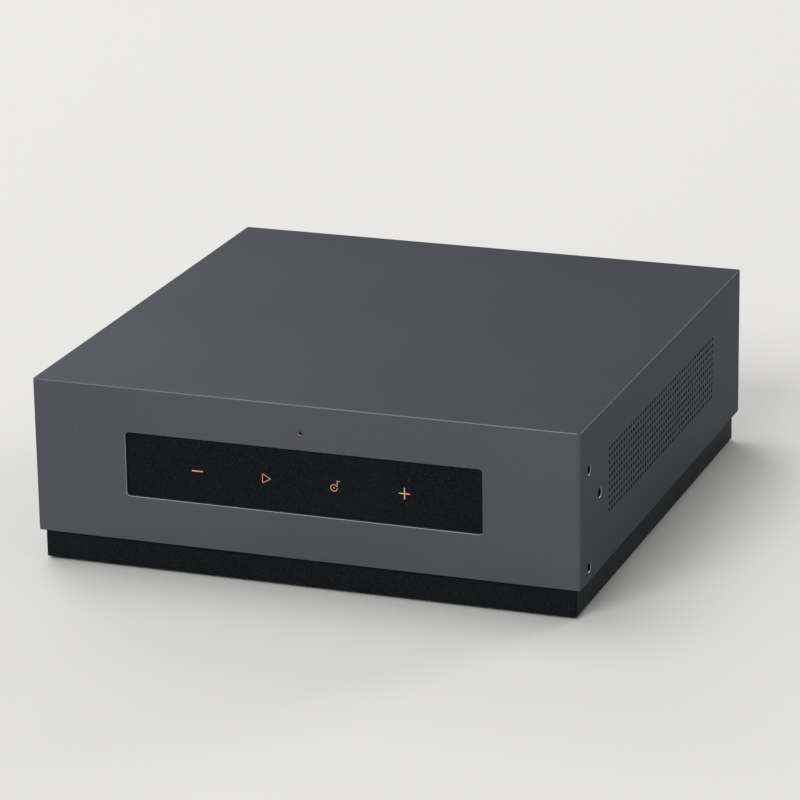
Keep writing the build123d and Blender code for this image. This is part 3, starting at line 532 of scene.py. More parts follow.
def cells(grid: np.ndarray) -> np.ndarray:
    """The four corners of each cell of a grid of indices, anticlockwise from its lowest."""
    return np.stack([grid[:-1, :-1], grid[:-1, 1:], grid[1:, 1:], grid[1:, :-1]], -1)


def strip(near: np.ndarray, far: np.ndarray) -> np.ndarray:
    """Four-cornered faces between two closed loops of as many indices, or rows of such loops."""
    return np.stack([near, np.roll(near, -1, -1), np.roll(far, -1, -1), far], -1).reshape(-1, 4)


def zipper(outer: np.ndarray, inner: np.ndarray) -> np.ndarray:
    """Fills the strip between two loops round one middle.

    Going round the middle, each loop steps to its next corner halfway in angle between the two,
    and each step makes a triangle with the corner that the other loop has reached.

    Args:
        outer: Angles of the outer loop, rising.
        inner: Angles of the inner loop, rising.

    Returns:
        Triangles of indices, with the inner loop's counted on from the outer's.
    """
    full = 2 * math.pi
    steps = [(loop - (loop - np.roll(loop, 1)) % full / 2) % full for loop in (outer, inner)]
    order = np.argsort(np.concatenate(steps), kind="stable")

    def reached(own: np.ndarray) -> np.ndarray:
        """The corner that one loop has reached at each step of either."""
        at = np.maximum.accumulate(np.where(own, np.arange(len(order)), -1))
        return order[np.where(at < 0, np.flatnonzero(own)[-1], at)]

    on_outer = order < len(outer)
    now_outer, now_inner = reached(on_outer), reached(~on_outer)
    first = np.where(on_outer, np.roll(now_outer, 1), np.roll(now_inner, 1))
    return np.stack([first, now_outer, now_inner], 1)


def thickened(outer: np.ndarray, inner: np.ndarray, faces: list[np.ndarray], smooth: Sequence[bool],
              finish: Sequence[int]) -> Patch:
    """Gives a sheet its thickness: the faces again, turned round, on a second set of points.

    An edge is open where no face runs along it the other way, and each open edge gets a wall.

    Args:
        outer: Points of the outer side.
        inner: The same points on the inner side.
        faces: Index arrays of the outer side.
        smooth: Whether each array is shaded as curved.
        finish: Which finish each array has.

    Returns:
        The closed sheet, with the inner side and the walls flat and in the first finish.
    """
    count = len(outer)
    edges = np.concatenate([np.stack([group, np.roll(group, -1, 1)], -1).reshape(-1, 2) for group in faces])
    there = edges[:, 0] * count + edges[:, 1]
    back = edges[:, 1] * count + edges[:, 0]
    start, end = edges[~np.isin(back, there)].T
    walls = np.stack([end, start, start + count, end + count], 1)
    inside = [group[:, ::-1] + count for group in faces]
    more = len(faces) + 1
    return Patch(np.concatenate([outer, inner]), [*faces, *inside, walls],
                 [*smooth] + [False] * more, [*finish] + [0] * more)


def rising(loop: np.ndarray, middle: np.ndarray) -> tuple[np.ndarray, np.ndarray]:
    """Sorts a loop's points by their angle about a middle.

    Args:
        loop: The points.
        middle: The point that they go round.

    Returns:
        The order of the points, and their angles in that order.
    """
    angle = np.arctan2(*(loop - middle).T[::-1]) % (2 * math.pi)
    order = np.argsort(angle, kind="stable")
    return order, angle[order]


def cad_box(node: str) -> tuple[np.ndarray, np.ndarray]:
    """Lowest and highest corner of a CAD node, in millimetres."""
    low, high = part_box(node)
    return np.array(low) / MM, np.array(high) / MM


def cad_middle(node: str) -> np.ndarray:
    """Middle of a CAD node's box, in millimetres."""
    low, high = cad_box(node)
    return (low + high) / 2


def make_piece(name: str, patch: Patch, finishes: Finish | Sequence[Finish], body: str,
               replaces: Sequence[str] = (), crease: float = 35.0) -> bpy.types.Object:
    """Makes one piece from a patch, welds it, dresses it and puts it on its body.

    Args:
        name: The piece's name.
        patch: Its surface in world millimetres.
        finishes: What it is made of, or the finishes that its faces choose from.
        body: The CAD body that it rides on.
        replaces: The CAD nodes that it stands for.
        crease: Angle in degrees past which an edge stays sharp.

    Returns:
        The piece, at the origin with its place in its mesh.
    """
    mesh = bpy.data.meshes.new(name)
    listed = [np.atleast_2d(group).tolist() for group in patch.faces]
    counts = [len(group) for group in listed]
    mesh.from_pydata((patch.points * MM).tolist(), [], [face for group in listed for face in group])
    for finish in [finishes] if isinstance(finishes, Finish) else finishes:
        mesh.materials.append(finish.material())
    mesh.polygons.foreach_set("use_smooth", np.repeat(patch.smooth, counts))
    mesh.polygons.foreach_set("material_index", np.repeat(patch.finish or [0] * len(counts), counts))
    shape = bmesh.new()
    shape.from_mesh(mesh)
    bmesh.ops.remove_doubles(shape, verts=shape.verts, dist=WELD)
    shape.to_mesh(mesh)
    shape.free()
    # Marking the sharp edges shades every face as curved, so the flags are put back after it.
    smooth = np.empty(len(mesh.polygons), bool)
    mesh.polygons.foreach_get("use_smooth", smooth)
    mesh.set_sharp_from_angle(angle=math.radians(crease))
    mesh.polygons.foreach_set("use_smooth", smooth)
    piece = bpy.data.objects.new(name, mesh)
    bpy.context.scene.collection.objects.link(piece)
    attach(piece, body)
    if replaces:
        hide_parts(*replaces)
    LOG.info("%s: %d faces on %s", name, len(mesh.polygons), body)
    return piece


def dress(node: str, finish: Finish) -> None:
    """Gives a CAD node that keeps its mesh a better material.

    Args:
        node: The node's name.
        finish: What it is made of.
    """
    node_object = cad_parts[node]
    node_object.data.materials.clear()
    node_object.data.materials.append(finish.material())


@dataclass
class Cover:
    """The folded cover: one sheet for the front, both sides and the top.

    The outer skin is a grid: columns follow the outline from the back of the left side round
    the front to the back of the right side, and rows climb the wall and then the rounded top
    edge. The cells that an opening reaches are left out and zipped to its loop, and its edge
    has a small bevel. Openings are placed from the cover's front, top or foot.
    """

    wall: float = 1.5
    corner: float = 1.0           # radius of the two upright bends
    corner_steps: int = 6
    edge: float = 0.35            # radius of the top edge
    edge_steps: int = 5
    edge_break: float = 0.14      # depth of the openings' bevels
    window: tuple[float, float, float] = (124.4, 22.2, 1.2)    # width, height and corner radius
    window_steps: int = 7
    window_drop: float = 15.5     # from the top
    window_cells: tuple[float, float] = (65.0, 13.2)           # their half width, and their foot
    light_drop: float = 9.6
    light_radius: float = 0.62
    light_break: float = 0.12     # width of its bevel
    light_sides: int = 20
    light_cells: tuple[float, float, float] = (2.5, 12.0, 7.0)  # their half width, and their drops
    rack_radius: float = 1.65
    rack_sides: int = 28
    rack_first: tuple[float, float] = (9.8, 15.3)    # upper hole, from the front and the top
    rack_step: float = 11.5       # from it to the middle hole, rearwards and down
    rack_rise: float = 4.7        # of the lower hole, from the foot
    rack_cells: tuple[float, float] = (3.0, 2.5)     # their half length and half height
    vent_radius: float = 0.66
    vent_sides: int = 12
    vent_pitch: tuple[float, float] = (2.72, 2.366)
    vent_first: tuple[float, float] = (31.9, 15.3)   # first vent, from the front and the top
    vent_count: tuple[int, int] = (46, 10)
    points: list[np.ndarray] = field(default_factory=list, init=False)
    faces: list[np.ndarray] = field(default_factory=list, init=False)
    smooth: list[bool] = field(default_factory=list, init=False)
    finish: list[int] = field(default_factory=list, init=False)
    total: int = field(default=0, init=False)

    def __post_init__(self) -> None:
        """Reads the cover's place from the CAD and lays out the lines of the grid."""
        self.low, self.high = cad_box("cover")
        front, foot, top = self.low[1], self.low[2], self.high[2]
        lines_y, lines_z = (np.arange(count + 1) - 0.5 for count in self.vent_count)
        self.vent_y = front + self.vent_first[0] + lines_y * self.vent_pitch[0]
        self.vent_z = (top - self.vent_first[1] - lines_z * self.vent_pitch[1])[::-1]
        near, drop = self.rack_first
        self.racks = [(front + near, top - drop),
                      (front + near + self.rack_step, top - drop - self.rack_step),
                      (front + near, foot + self.rack_rise)]
        beside, above = (np.array([-half, half]) for half in self.rack_cells)
        side = front + np.concatenate([[self.corner], near + beside, near + self.rack_step + beside])
        self.ys = np.concatenate([side, self.vent_y, [self.high[1]]])
        window, light = self.window_cells[0], self.light_cells[0]
        self.xs = np.array([self.low[0] + self.corner, -window, -light, light, window,
                            self.high[0] - self.corner])
        lower = foot + np.concatenate([[0.0], self.rack_rise + above, [self.window_cells[1]]])
        upper = top - np.array([*self.light_cells[1:], self.edge])
        self.zs = np.concatenate([lower, self.vent_z, upper])

    def outline(self) -> tuple[np.ndarray, np.ndarray]:
        """The path round the cover and the way out from it.

        The walls are straight, and the point at angle a of a bend is the bend's middle plus the
        radius times (cos a, sin a).

        Returns:
            Places and outward directions, one row for each column of the grid.
        """
        turn = np.linspace(0, math.pi / 2, self.corner_steps + 1)[1:-1]
        bends = []
        for x, start in ((self.xs[0], math.pi), (self.xs[-1], 1.5 * math.pi)):
            way = np.column_stack([np.cos(start + turn), np.sin(start + turn)])
            bends.append((np.array([x, self.low[1] + self.corner]) + self.corner * way, way))
        (left_bend, left_way), (right_bend, right_way) = bends
        left = np.column_stack([np.full(len(self.ys), self.low[0]), self.ys[::-1]])
        front = np.column_stack([self.xs, np.full(len(self.xs), self.low[1])])
        right = np.column_stack([np.full(len(self.ys), self.high[0]), self.ys])
        path = np.concatenate([left, left_bend, front, right_bend, right])
        ways = [np.tile([-1.0, 0.0], (len(left), 1)), left_way, np.tile([0.0, -1.0], (len(front), 1)),
                right_way, np.tile([1.0, 0.0], (len(right), 1))]
        return path, np.concatenate(ways)

    def on_wall(self, side: Facing, loop: np.ndarray, depth: float) -> np.ndarray:
        """World points of a loop on one wall.

        Args:
            side: The wall.
            loop: Place along the wall, seen from outside, and z of each point.
            depth: How far they are sunk in the wall.

        Returns:
            The points.
        """
        along, z = loop.T
        if side is Facing.FRONT:
            return np.column_stack([along, np.full(len(loop), self.low[1] + depth), z])
        if side is Facing.RIGHT:
            return np.column_stack([np.full(len(loop), self.high[0] - depth), along, z])
        return np.column_stack([np.full(len(loop), self.low[0] + depth), -along, z])

    def off_wall(self, side: Facing, points: np.ndarray) -> np.ndarray:
        """Place along one wall and z of world points, which is on_wall the other way round."""
        axis, sign = {Facing.FRONT: (0, 1), Facing.RIGHT: (1, 1), Facing.LEFT: (1, -1)}[side]
        return np.column_stack([sign * points[:, axis], points[:, 2]])

    def lines(self, side: Facing) -> tuple[np.ndarray, int]:
        """The grid lines of one wall.

        Args:
            side: The wall.

        Returns:
            Their places along the wall, rising, and the number of the first one's column.
        """
        bend = self.corner_steps - 1
        if side is Facing.LEFT:
            return -self.ys[::-1], 0
        if side is Facing.FRONT:
            return self.xs, len(self.ys) + bend
        return self.ys, len(self.ys) + bend + len(self.xs) + bend

    def add_points(self, points: np.ndarray) -> np.ndarray:
        """Adds points.

        Args:
            points: Their places.

        Returns:
            Their indices.
        """
        self.points.append(points)
        self.total += len(points)
        return np.arange(self.total - len(points), self.total)

    def add_faces(self, faces: np.ndarray, surface: Surface = Surface.SHEET, smooth: bool = False) -> None:
        """Adds faces of as many corners each.

        Args:
            faces: The indices of their corners.
            surface: Which finish they have.
            smooth: Whether they are shaded as curved.
        """
        self.faces.append(faces)
        self.smooth.append(smooth)
        self.finish.append(int(surface))

    def pierce(self, side: Facing, middle: tuple[float, float], loop: np.ndarray, inner: np.ndarray,
               surface: Surface) -> None:
        """Zips one opening into the cells that it reaches.

        Args:
            side: The wall.
            middle: Place along the wall and z of the opening's middle.
            loop: The opening at the surface, about its middle.
            inner: The opening below its bevel, about its middle.
            surface: What its walls are like.
        """
        lines, first = self.lines(side)
        low, high = (loop + middle).min(0), (loop + middle).max(0)
        i0, i1 = first + np.searchsorted(lines, low[0]) - 1, first + np.searchsorted(lines, high[0])
        j0, j1 = np.searchsorted(self.zs, low[1]) - 1, np.searchsorted(self.zs, high[1])
        self.kept[j0:j1, i0:i1] = False
        index = np.concatenate([self.grid[j0, i0:i1], self.grid[j0:j1, i1],
                                self.grid[j1, i1:i0:-1], self.grid[j1:j0:-1, i0]])
        at = np.array(middle)
        outer_order, outer_angle = rising(self.off_wall(side, self.skin[index]), at)
        ring_order, ring_angle = rising(loop + at, at)
        ring, sunk, deep = (self.add_points(self.on_wall(side, (shape + at)[ring_order], depth))
                            for shape, depth in ((loop, 0.0), (inner, self.edge_break), (inner, self.wall)))
        both = np.concatenate([index[outer_order], ring])
        self.add_faces(both[zipper(outer_angle, ring_angle)])
        # The bevel takes the painted highlight of the cut finish.
        self.add_faces(strip(ring, sunk), Surface.CUT_HIGHLIGHT)
        self.add_faces(strip(sunk, deep), surface)

    def vents(self, side: Facing) -> None:
        """Zips all the vent holes of one side in at once, with the same triangles in each cell.

        Args:
            side: The wall.
        """
        lines, first = self.lines(side)
        span = np.sort(self.vent_y[[0, -1]] * (-1 if side is Facing.LEFT else 1))
        i0, i1 = first + abs(lines[:, None] - span).argmin(0)
        j0, j1 = abs(self.zs[:, None] - self.vent_z[[0, -1]]).argmin(0)
        self.kept[j0:j1, i0:i1] = False
        corners = cells(self.grid[j0:j1 + 1, i0:i1 + 1]).reshape(-1, 4)
        hole = circle(self.vent_radius, self.vent_sides)
        loops = self.off_wall(side, self.skin[corners].mean(1))[:, None] + hole
        ring, deep = (self.add_points(self.on_wall(side, loops.reshape(-1, 2), depth)).reshape(len(loops), -1)
                      for depth in (0.0, self.wall))
        corner_angle = np.radians([225, 315, 45, 135])
        order = np.argsort(corner_angle)
        pattern = zipper(corner_angle[order], rising(hole, np.zeros(2))[1])
        both = np.concatenate([corners[:, order], ring], 1)
        self.add_faces(both[:, pattern].reshape(-1, 3))
        # The vents' walls get the painted shade of the drilled holes.
        self.add_faces(strip(ring, deep), Surface.DRILLED_SHADE)

    def open_walls(self) -> None:
        """Cuts the window, the light's hole, the rack holes and the vents."""
        width, height, radius = self.window
        more = self.edge_break
        outer = rounded(width + 2 * more, height + 2 * more, radius + more, self.window_steps)
        middle = self.high[2] - self.window_drop - height / 2
        # The window's bevel and walls get the painted highlight of the cut finish.
        self.pierce(Facing.FRONT, (0.0, middle), outer, rounded(width, height, radius, self.window_steps),
                    Surface.CUT_HIGHLIGHT)
        # The light's hole has walls painted dark as shade.
        self.pierce(Facing.FRONT, (0.0, self.high[2] - self.light_drop),
                    circle(self.light_radius + self.light_break, self.light_sides),
                    circle(self.light_radius, self.light_sides), Surface.DRILLED_SHADE)
        # The rack holes have walls painted dark as shade.
        for y, z in self.racks:
            for side, along in ((Facing.RIGHT, y), (Facing.LEFT, -y)):
                self.pierce(side, (along, z), circle(self.rack_radius + self.edge_break, self.rack_sides),
                            circle(self.rack_radius, self.rack_sides), Surface.DRILLED_SHADE)
        self.vents(Facing.RIGHT)
        self.vents(Facing.LEFT)

    def sheet(self) -> Patch:
        """Builds the outer skin and gives it its thickness.

        At angle a of the top edge the outline is taken in by the radius times (1 - cos a) and
        raised by the radius times sin a.

        Returns:
            The closed cover.
        """
        path, way = self.outline()
        turn = np.linspace(0, math.pi / 2, self.edge_steps + 1)[1:]
        inset = np.concatenate([np.zeros(len(self.zs)), self.edge * (1 - np.cos(turn))])
        height = np.concatenate([self.zs, self.zs[-1] + self.edge * np.sin(turn)])
        flat = path[None] - way[None] * inset[:, None, None]
        raised = np.broadcast_to(height[:, None, None], flat.shape[:2] + (1,))
        self.skin = np.concatenate([flat, raised], -1).reshape(-1, 3)
        self.grid = self.add_points(self.skin).reshape(len(height), len(path))
        self.kept = np.ones((len(height) - 1, len(path) - 1), bool)
        self.open_walls()
        edge = np.zeros_like(self.kept)
        edge[len(self.zs) - 1:] = True
        bend = np.zeros_like(self.kept)
        for side in (Facing.FRONT, Facing.RIGHT):
            first = self.lines(side)[1]
            bend[:, first - self.corner_steps:first] = True
        corners = cells(self.grid)
        self.add_faces(corners[edge], smooth=True)
        self.add_faces(corners[self.kept & bend & ~edge], smooth=True)
        self.add_faces(corners[self.kept & ~bend & ~edge])
        self.add_faces(self.grid[-1][None])
        return self.thicken()

    def thicken(self) -> Patch:
        """Adds the inner side.

        The inner copy of a point is the point brought into the box of the inside, so flat walls
        move in by the wall's thickness and rounded corners draw together to sharp ones.

        Returns:
            The closed cover.
        """
        points = np.concatenate(self.points)
        inside_low = np.array([self.low[0] + self.wall, self.low[1] + self.wall, self.low[2]])
        inside_high = np.array([self.high[0] - self.wall, self.high[1], self.high[2] - self.wall])
        inner = np.clip(points, inside_low, inside_high)
        return thickened(points, inner, self.faces, self.smooth, self.finish)

    def build(self) -> None:
        """Makes the cover in place of its CAD node, with its finishes in the order of Surface."""
        # The second finish paints a highlight on the cut edges.
        # The third finish paints shade on the walls of the drilled holes.
        make_piece("cover_shell", self.sheet(), (BLASTED, BURNISHED_HIGHLIGHT, BORED_SHADE), "chassis", ["cover"], crease=60)


@dataclass
class TouchStrip:
    """The black strip behind the window, its four printed signs and the status light."""

    drop: float = 0.25           # from the strip's middle to the signs' middle
    spots: tuple[float, ...] = (-37.1, -13.1, 10.95, 35.3)      # of minus, play, note and plus
    line: float = 0.4            # width of the lines of minus and plus
    reach: float = 4.0           # length of those lines
    play: tuple[float, float, float] = (3.2, 3.5, 0.22)         # width, height and line
    play_round: float = 1.1      # radius of its corners, as a share of its line
    play_steps: int = 8          # segments in each of them
    disc: tuple[float, float, float] = (1.25, 1.0, 0.24)        # radius outside, inside and of the dot
    disc_sides: int = 40         # points of its circles; the dot has half as many
    disc_drop: float = 0.65      # from the signs' middle to the disc's
    stem: tuple[float, float] = (2.4, 0.1)                      # length and corner radius
    flag: tuple[float, float, float] = (1.2, 0.15, 0.25)        # length, corner radius and shift

    def __post_init__(self) -> None:
        """Finds the strip's face and the height of the signs."""
        low, high = cad_box("touch_lens")
        self.face = low[1]
        self.height = (low[2] + high[2]) / 2 - self.drop

    def band(self, outer: np.ndarray, inner: np.ndarray, at: tuple[float, float]) -> Patch:
        """A thin printed ring.

        Args:
            outer: Its outer loop.
            inner: Its inner loop, of as many points.
            at: Where their origin lies on the strip.

        Returns:
            The ring, closed.
        """
        rows = [lifted(loop + np.array(at), w) for loop, w in (
            (outer, 0.0), (outer, INK_HEIGHT), (inner, INK_HEIGHT), (inner, 0.0), (outer, 0.0))]
        return loft(np.array(rows), False)

    def triangle(self, inset: float) -> np.ndarray:
        """A rounded triangle that points right, taken in all round by an inset.

        Each corner is an arc about a corner of a smaller triangle, so the loops of two insets
        run side by side.

        Args:
            inset: How far the loop is taken in.

        Returns:
            The loop, anticlockwise.
        """
        width, height, line = self.play
        radius = line * self.play_round
        half = math.atan2(height / 2, width)
        left, tip = -width / 3 + radius, 2 * width / 3 - radius / math.sin(half)
        rise = (tip - left) * math.tan(half)
        middles = np.array([(tip, 0.0), (left, rise), (left, -rise)])
        starts = np.array([half - math.pi / 2, math.pi / 2 - half, math.pi])
        turns = np.array([math.pi - 2 * half, math.pi / 2 + half, math.pi / 2 + half])
        angle = starts[:, None] + turns[:, None] * np.linspace(0, 1, self.play_steps + 1)[None]
        arc = (radius - inset) * np.stack([np.cos(angle), np.sin(angle)], -1)
        return (middles[:, None] + arc).reshape(-1, 2)

    def note(self) -> list[Patch]:
        """A round note head with a dot, its stem and its flag."""
        outer, inner, dot = self.disc
        line = outer - inner
        x, z = self.spots[2], -self.disc_drop
        length, stem_round = self.stem
        stem = printed(rounded(line, length, stem_round), (x + outer - line / 2, z + length / 2))
        reach, flag_round, shift = self.flag
        flag = printed(rounded(reach, line, flag_round), (x + outer + shift, z + length))
        head = self.band(circle(outer, self.disc_sides), circle(inner, self.disc_sides), (x, z))
        return [head, printed(circle(dot, self.disc_sides // 2), (x, z)), stem, flag]

    def build(self) -> None:
        """Prints the signs and dresses the strip."""
        minus = printed(rounded(self.reach, self.line, self.line / 2), (self.spots[0], 0.0))
        play = self.band(self.triangle(0.0), self.triangle(self.play[2]), (self.spots[1], 0.0))
        plus = printed(cross(self.reach, self.line), (self.spots[3], 0.0))
        signs = join([minus, play, *self.note(), plus]).placed(Facing.FRONT, (0, self.face, self.height))
        make_piece("touch_signs", signs, INK, "chassis")
        dress("touch_lens", ACRYLIC)
        dress("touch_board", BOARD)
        dress("status_light_pipe", LAMP)


@dataclass
class ScrewHead:
    """A pan head with a cross recess, as a height over a round grid.

    The height over radius r is a dome that falls with the fourth power of r, less the recess
    wherever the point lies inside one of the cross's two arms, whose walls slope.
    """

    radius: float
    height: float
    fall: float = 0.28       # of the dome at its rim, as a share of the height
    rim: float = 0.985       # radius of the first ring inside its rim, as a share of the whole
    arm: float = 0.55        # half width of the cross's arm
    reach: float = 0.62      # length of the arm as a share of the radius
    sink: float = 0.75       # depth of the recess as a share of the height
    slope: tuple[float, float] = (0.1, 0.15)     # width of the slope along an arm and at its end
    rings: int = 22
    sides: int = 64

    def patch(self, facing: Facing, origin: Sequence[float]) -> Patch:
        """The head on a seat.

        Args:
            facing: Where the head looks.
            origin: Middle of its seat.

        Returns:
            The head in world axes.
        """
        share = np.concatenate([[0.0, 1.0, 1.0], np.linspace(self.rim, 0.0, self.rings)])
        plane = (self.radius * share)[:, None, None] * circle(1.0, self.sides)
        dome = self.height * (1 - self.fall * share ** 4)
        across = np.sort(abs(plane), -1)
        inside = np.clip((self.arm - across[..., 0]) / self.slope[0], 0, 1)
        inside *= np.clip((self.radius * self.reach - across[..., 1]) / self.slope[1], 0, 1)
        height = dome[:, None] - inside * self.sink * self.height
        # The first two rings are the flat seat.
        height[:2] = 0.0
        return loft(np.concatenate([plane, height[..., None]], -1)).placed(facing, origin)


@dataclass
class Chassis:
    """The plinth, its feet, the rear panel and the screws that hold the case together."""

    foot_radius: float = 8.0
    foot_round: float = 0.25     # radius of its lower edge
    foot_steps: int = 4          # segments in that edge
    panel_thickness: float = 1.2
    panel_flange: float = 4.0    # by how much its flange is shorter
    fit: float = 0.2             # gap round what stands in an opening of the panel
    opening_radius: float = 0.3  # corners of its punched openings
    jack_half: float = 5.0       # half size of a phono jack's body
    plate_half: float = 15.0     # half size of the opening behind the terminal plate
    levels: tuple[float, ...] = (-1.5, 8.0, 15.0, 27.5)  # grid lines above the sockets' foot
    panel_screw: tuple[float, float] = (2.4, 6.0)        # head's radius, and its middle from the edges
    cover_screw: tuple[float, float] = (2.75, 1.6)       # head's radius and height
    lug_hole: tuple[float, float] = (4.5, 6.0)           # from a lug's outer side and from its end

    def openings(self) -> list[tuple[np.ndarray, np.ndarray]]:
        """The rear panel's openings, from the CAD boxes of what stands in them.

        Returns:
            The middle, as local p and q, and the loop of each, rising along p.
        """
        spans = [cad_box(node) for node in
                 ("optical_socket", "display_shell", "data_shell", "network_socket")]
        inlet_low, inlet_high = cad_box("mains_inlet")
        spans.append((inlet_low + INLET_LAP, inlet_high - INLET_LAP))
        foot = cad_box("phono_bodies")[0][2]
        for colours in (("red", "white"), ("black",)):
            upper = max((cad_middle("phono_insert_" + name) for name in colours), key=lambda at: at[2])
            spans.append((np.array([upper[0] - self.jack_half, 0.0, foot]), upper + self.jack_half))
        plate = cad_middle("terminal_plate")
        spans.append((plate - self.plate_half, plate + self.plate_half))
        found = []
        for low, high in spans:
            width, _, height = high - low + 2 * self.fit
            found.append(((low + high) / 2, rounded(width, height, self.opening_radius, steps=3)))
        for node, radius in (("trigger_jack", NOSE_RADIUS), ("setup_button", ROD_RADIUS)):
            found.append((cad_middle(node), circle(radius + self.fit, sides=40)))
        return sorted(((at[[0, 2]] * (-1, 1), loop) for at, loop in found), key=lambda item: item[0][0])

    def panel(self) -> Patch:
        """The rear panel: a grid with one opening in each column, made thick.

        A column ends halfway between its opening and the next one. The cells that an opening
        reaches are left out and zipped to its loop. The inner face repeats the outer one a
        sheet's thickness behind, and every open edge gets a wall between the two.

        Returns:
            The panel with the flange along its foot.
        """
        low, high = cad_box("rear_panel")
        openings = self.openings()
        starts = np.array([at[0] + loop[:, 0].min() for at, loop in openings])
        ends = np.array([at[0] + loop[:, 0].max() for at, loop in openings])
        columns = np.concatenate([[-high[0]], (ends[:-1] + starts[1:]) / 2, [-low[0]]])
        foot = cad_box("phono_bodies")[0][2]
        rows = np.concatenate([[low[2]], foot + np.array(self.levels), [high[2]]])
        grid = np.arange(len(rows) * len(columns)).reshape(len(rows), -1)
        corners = np.column_stack([np.tile(columns, len(rows)), np.repeat(rows, len(columns))])
        points = [corners]
        faces = []
        total = len(corners)
        kept = np.ones((len(rows) - 1, len(columns) - 1), bool)
        for column, (at, loop) in enumerate(openings):
            ring = loop + at
            j0 = np.searchsorted(rows, ring[:, 1].min()) - 1
            j1 = np.searchsorted(rows, ring[:, 1].max())
            kept[j0:j1, column] = False
            outer = np.concatenate([grid[j0:j1 + 1, column + 1], grid[j0:j1 + 1, column]])
            outer_order, outer_angle = rising(corners[outer], at)
            ring_order, ring_angle = rising(ring, at)
            both = np.concatenate([outer[outer_order], total + np.arange(len(ring))])
            faces.append(both[zipper(outer_angle, ring_angle)])
            points.append(ring[ring_order])
            total += len(ring)
        faces.append(cells(grid)[kept])
        outside = lifted(np.concatenate(points), 0.0)
        inside = outside - (0, 0, self.panel_thickness)
        sheet = thickened(outside, inside, faces, [False] * len(faces), [0] * len(faces))
        depth = high[1] - self.panel_thickness - low[1]
        flange = slab(high[0] - low[0] - self.panel_flange, depth, radius=0.0,
                      levels=[(0.0, 0.0), (0.0, self.panel_thickness)])
        return join([sheet.placed(Facing.REAR, (0, high[1], 0)),
                     flange.placed(Facing.UP, (0, low[1] + depth / 2, low[2]))])

    def feet(self) -> Patch:
        """Four turned pads, flat on the shelf.

        The soft lower edge is a quarter circle: at angle a it is taken in by its radius times
        (1 - sin a) and stands back from the foot's face by its radius times (1 - cos a).

        Returns:
            The pads.
        """
        low, high = cad_box("rubber_feet")
        height = high[2] - low[2]
        edge = [(self.foot_radius - self.foot_round * (1 - math.sin(angle)),
                 height - self.foot_round * (1 - math.cos(angle)))
                for angle in np.linspace(math.pi / 2, 0, self.foot_steps + 1)]
        pad = lathe([(0.0, 0.0), (self.foot_radius, 0.0), *edge, (0.0, height)])
        x = high[0] - self.foot_radius
        ys = (low[1] + self.foot_radius, high[1] - self.foot_radius)
        return join([pad.placed(Facing.DOWN, (sign * x, y, high[2])) for sign in (-1, 1) for y in ys])

    def screws(self) -> None:
        """Makes pan heads on the rear panel and sunk heads under the plinth."""
        panel = cad_box("rear_panel")[1]
        radius, inset = self.panel_screw
        x, z = panel[0] - inset, panel[2] - inset
        head = ScrewHead(radius, cad_box("panel_screws")[1][1] - panel[1])
        heads = [head.patch(Facing.REAR, (at, panel[1], z)) for at in (-x, 0.0, x)]
        make_piece("panel_screw_heads", join(heads), OXIDE, "chassis", ["panel_screws"])
        lugs_low, lugs_high = cad_box("cover_lugs")
        radius, height = self.cover_screw
        seat = cad_box("cover_screws")[0][2] + height
        x = lugs_high[0] - self.lug_hole[0]
        ys = (lugs_low[1] + self.lug_hole[1], lugs_high[1] - self.lug_hole[1])
        head = ScrewHead(radius, height)
        heads = [head.patch(Facing.DOWN, (sign * x, y, seat)) for sign in (-1, 1) for y in ys]
        make_piece("cover_screw_heads", join(heads), OXIDE, "chassis", ["cover_screws"])

    def build(self) -> None:
        """Makes the small pieces and dresses the tray and what is inside."""
        make_piece("foot_pads", self.feet(), RUBBER, "chassis", ["rubber_feet"])
        make_piece("panel_sheet", self.panel(), POWDER, "chassis", ["rear_panel"])
        self.screws()
        for node, finish in (("plinth_tray", ERODED), ("cover_lugs", MILL), ("panel_brackets", MILL),
                             ("rack_nuts", OXIDE), ("board_standoffs", ZINC), ("board_screws", ZINC)):
            dress(node, finish)


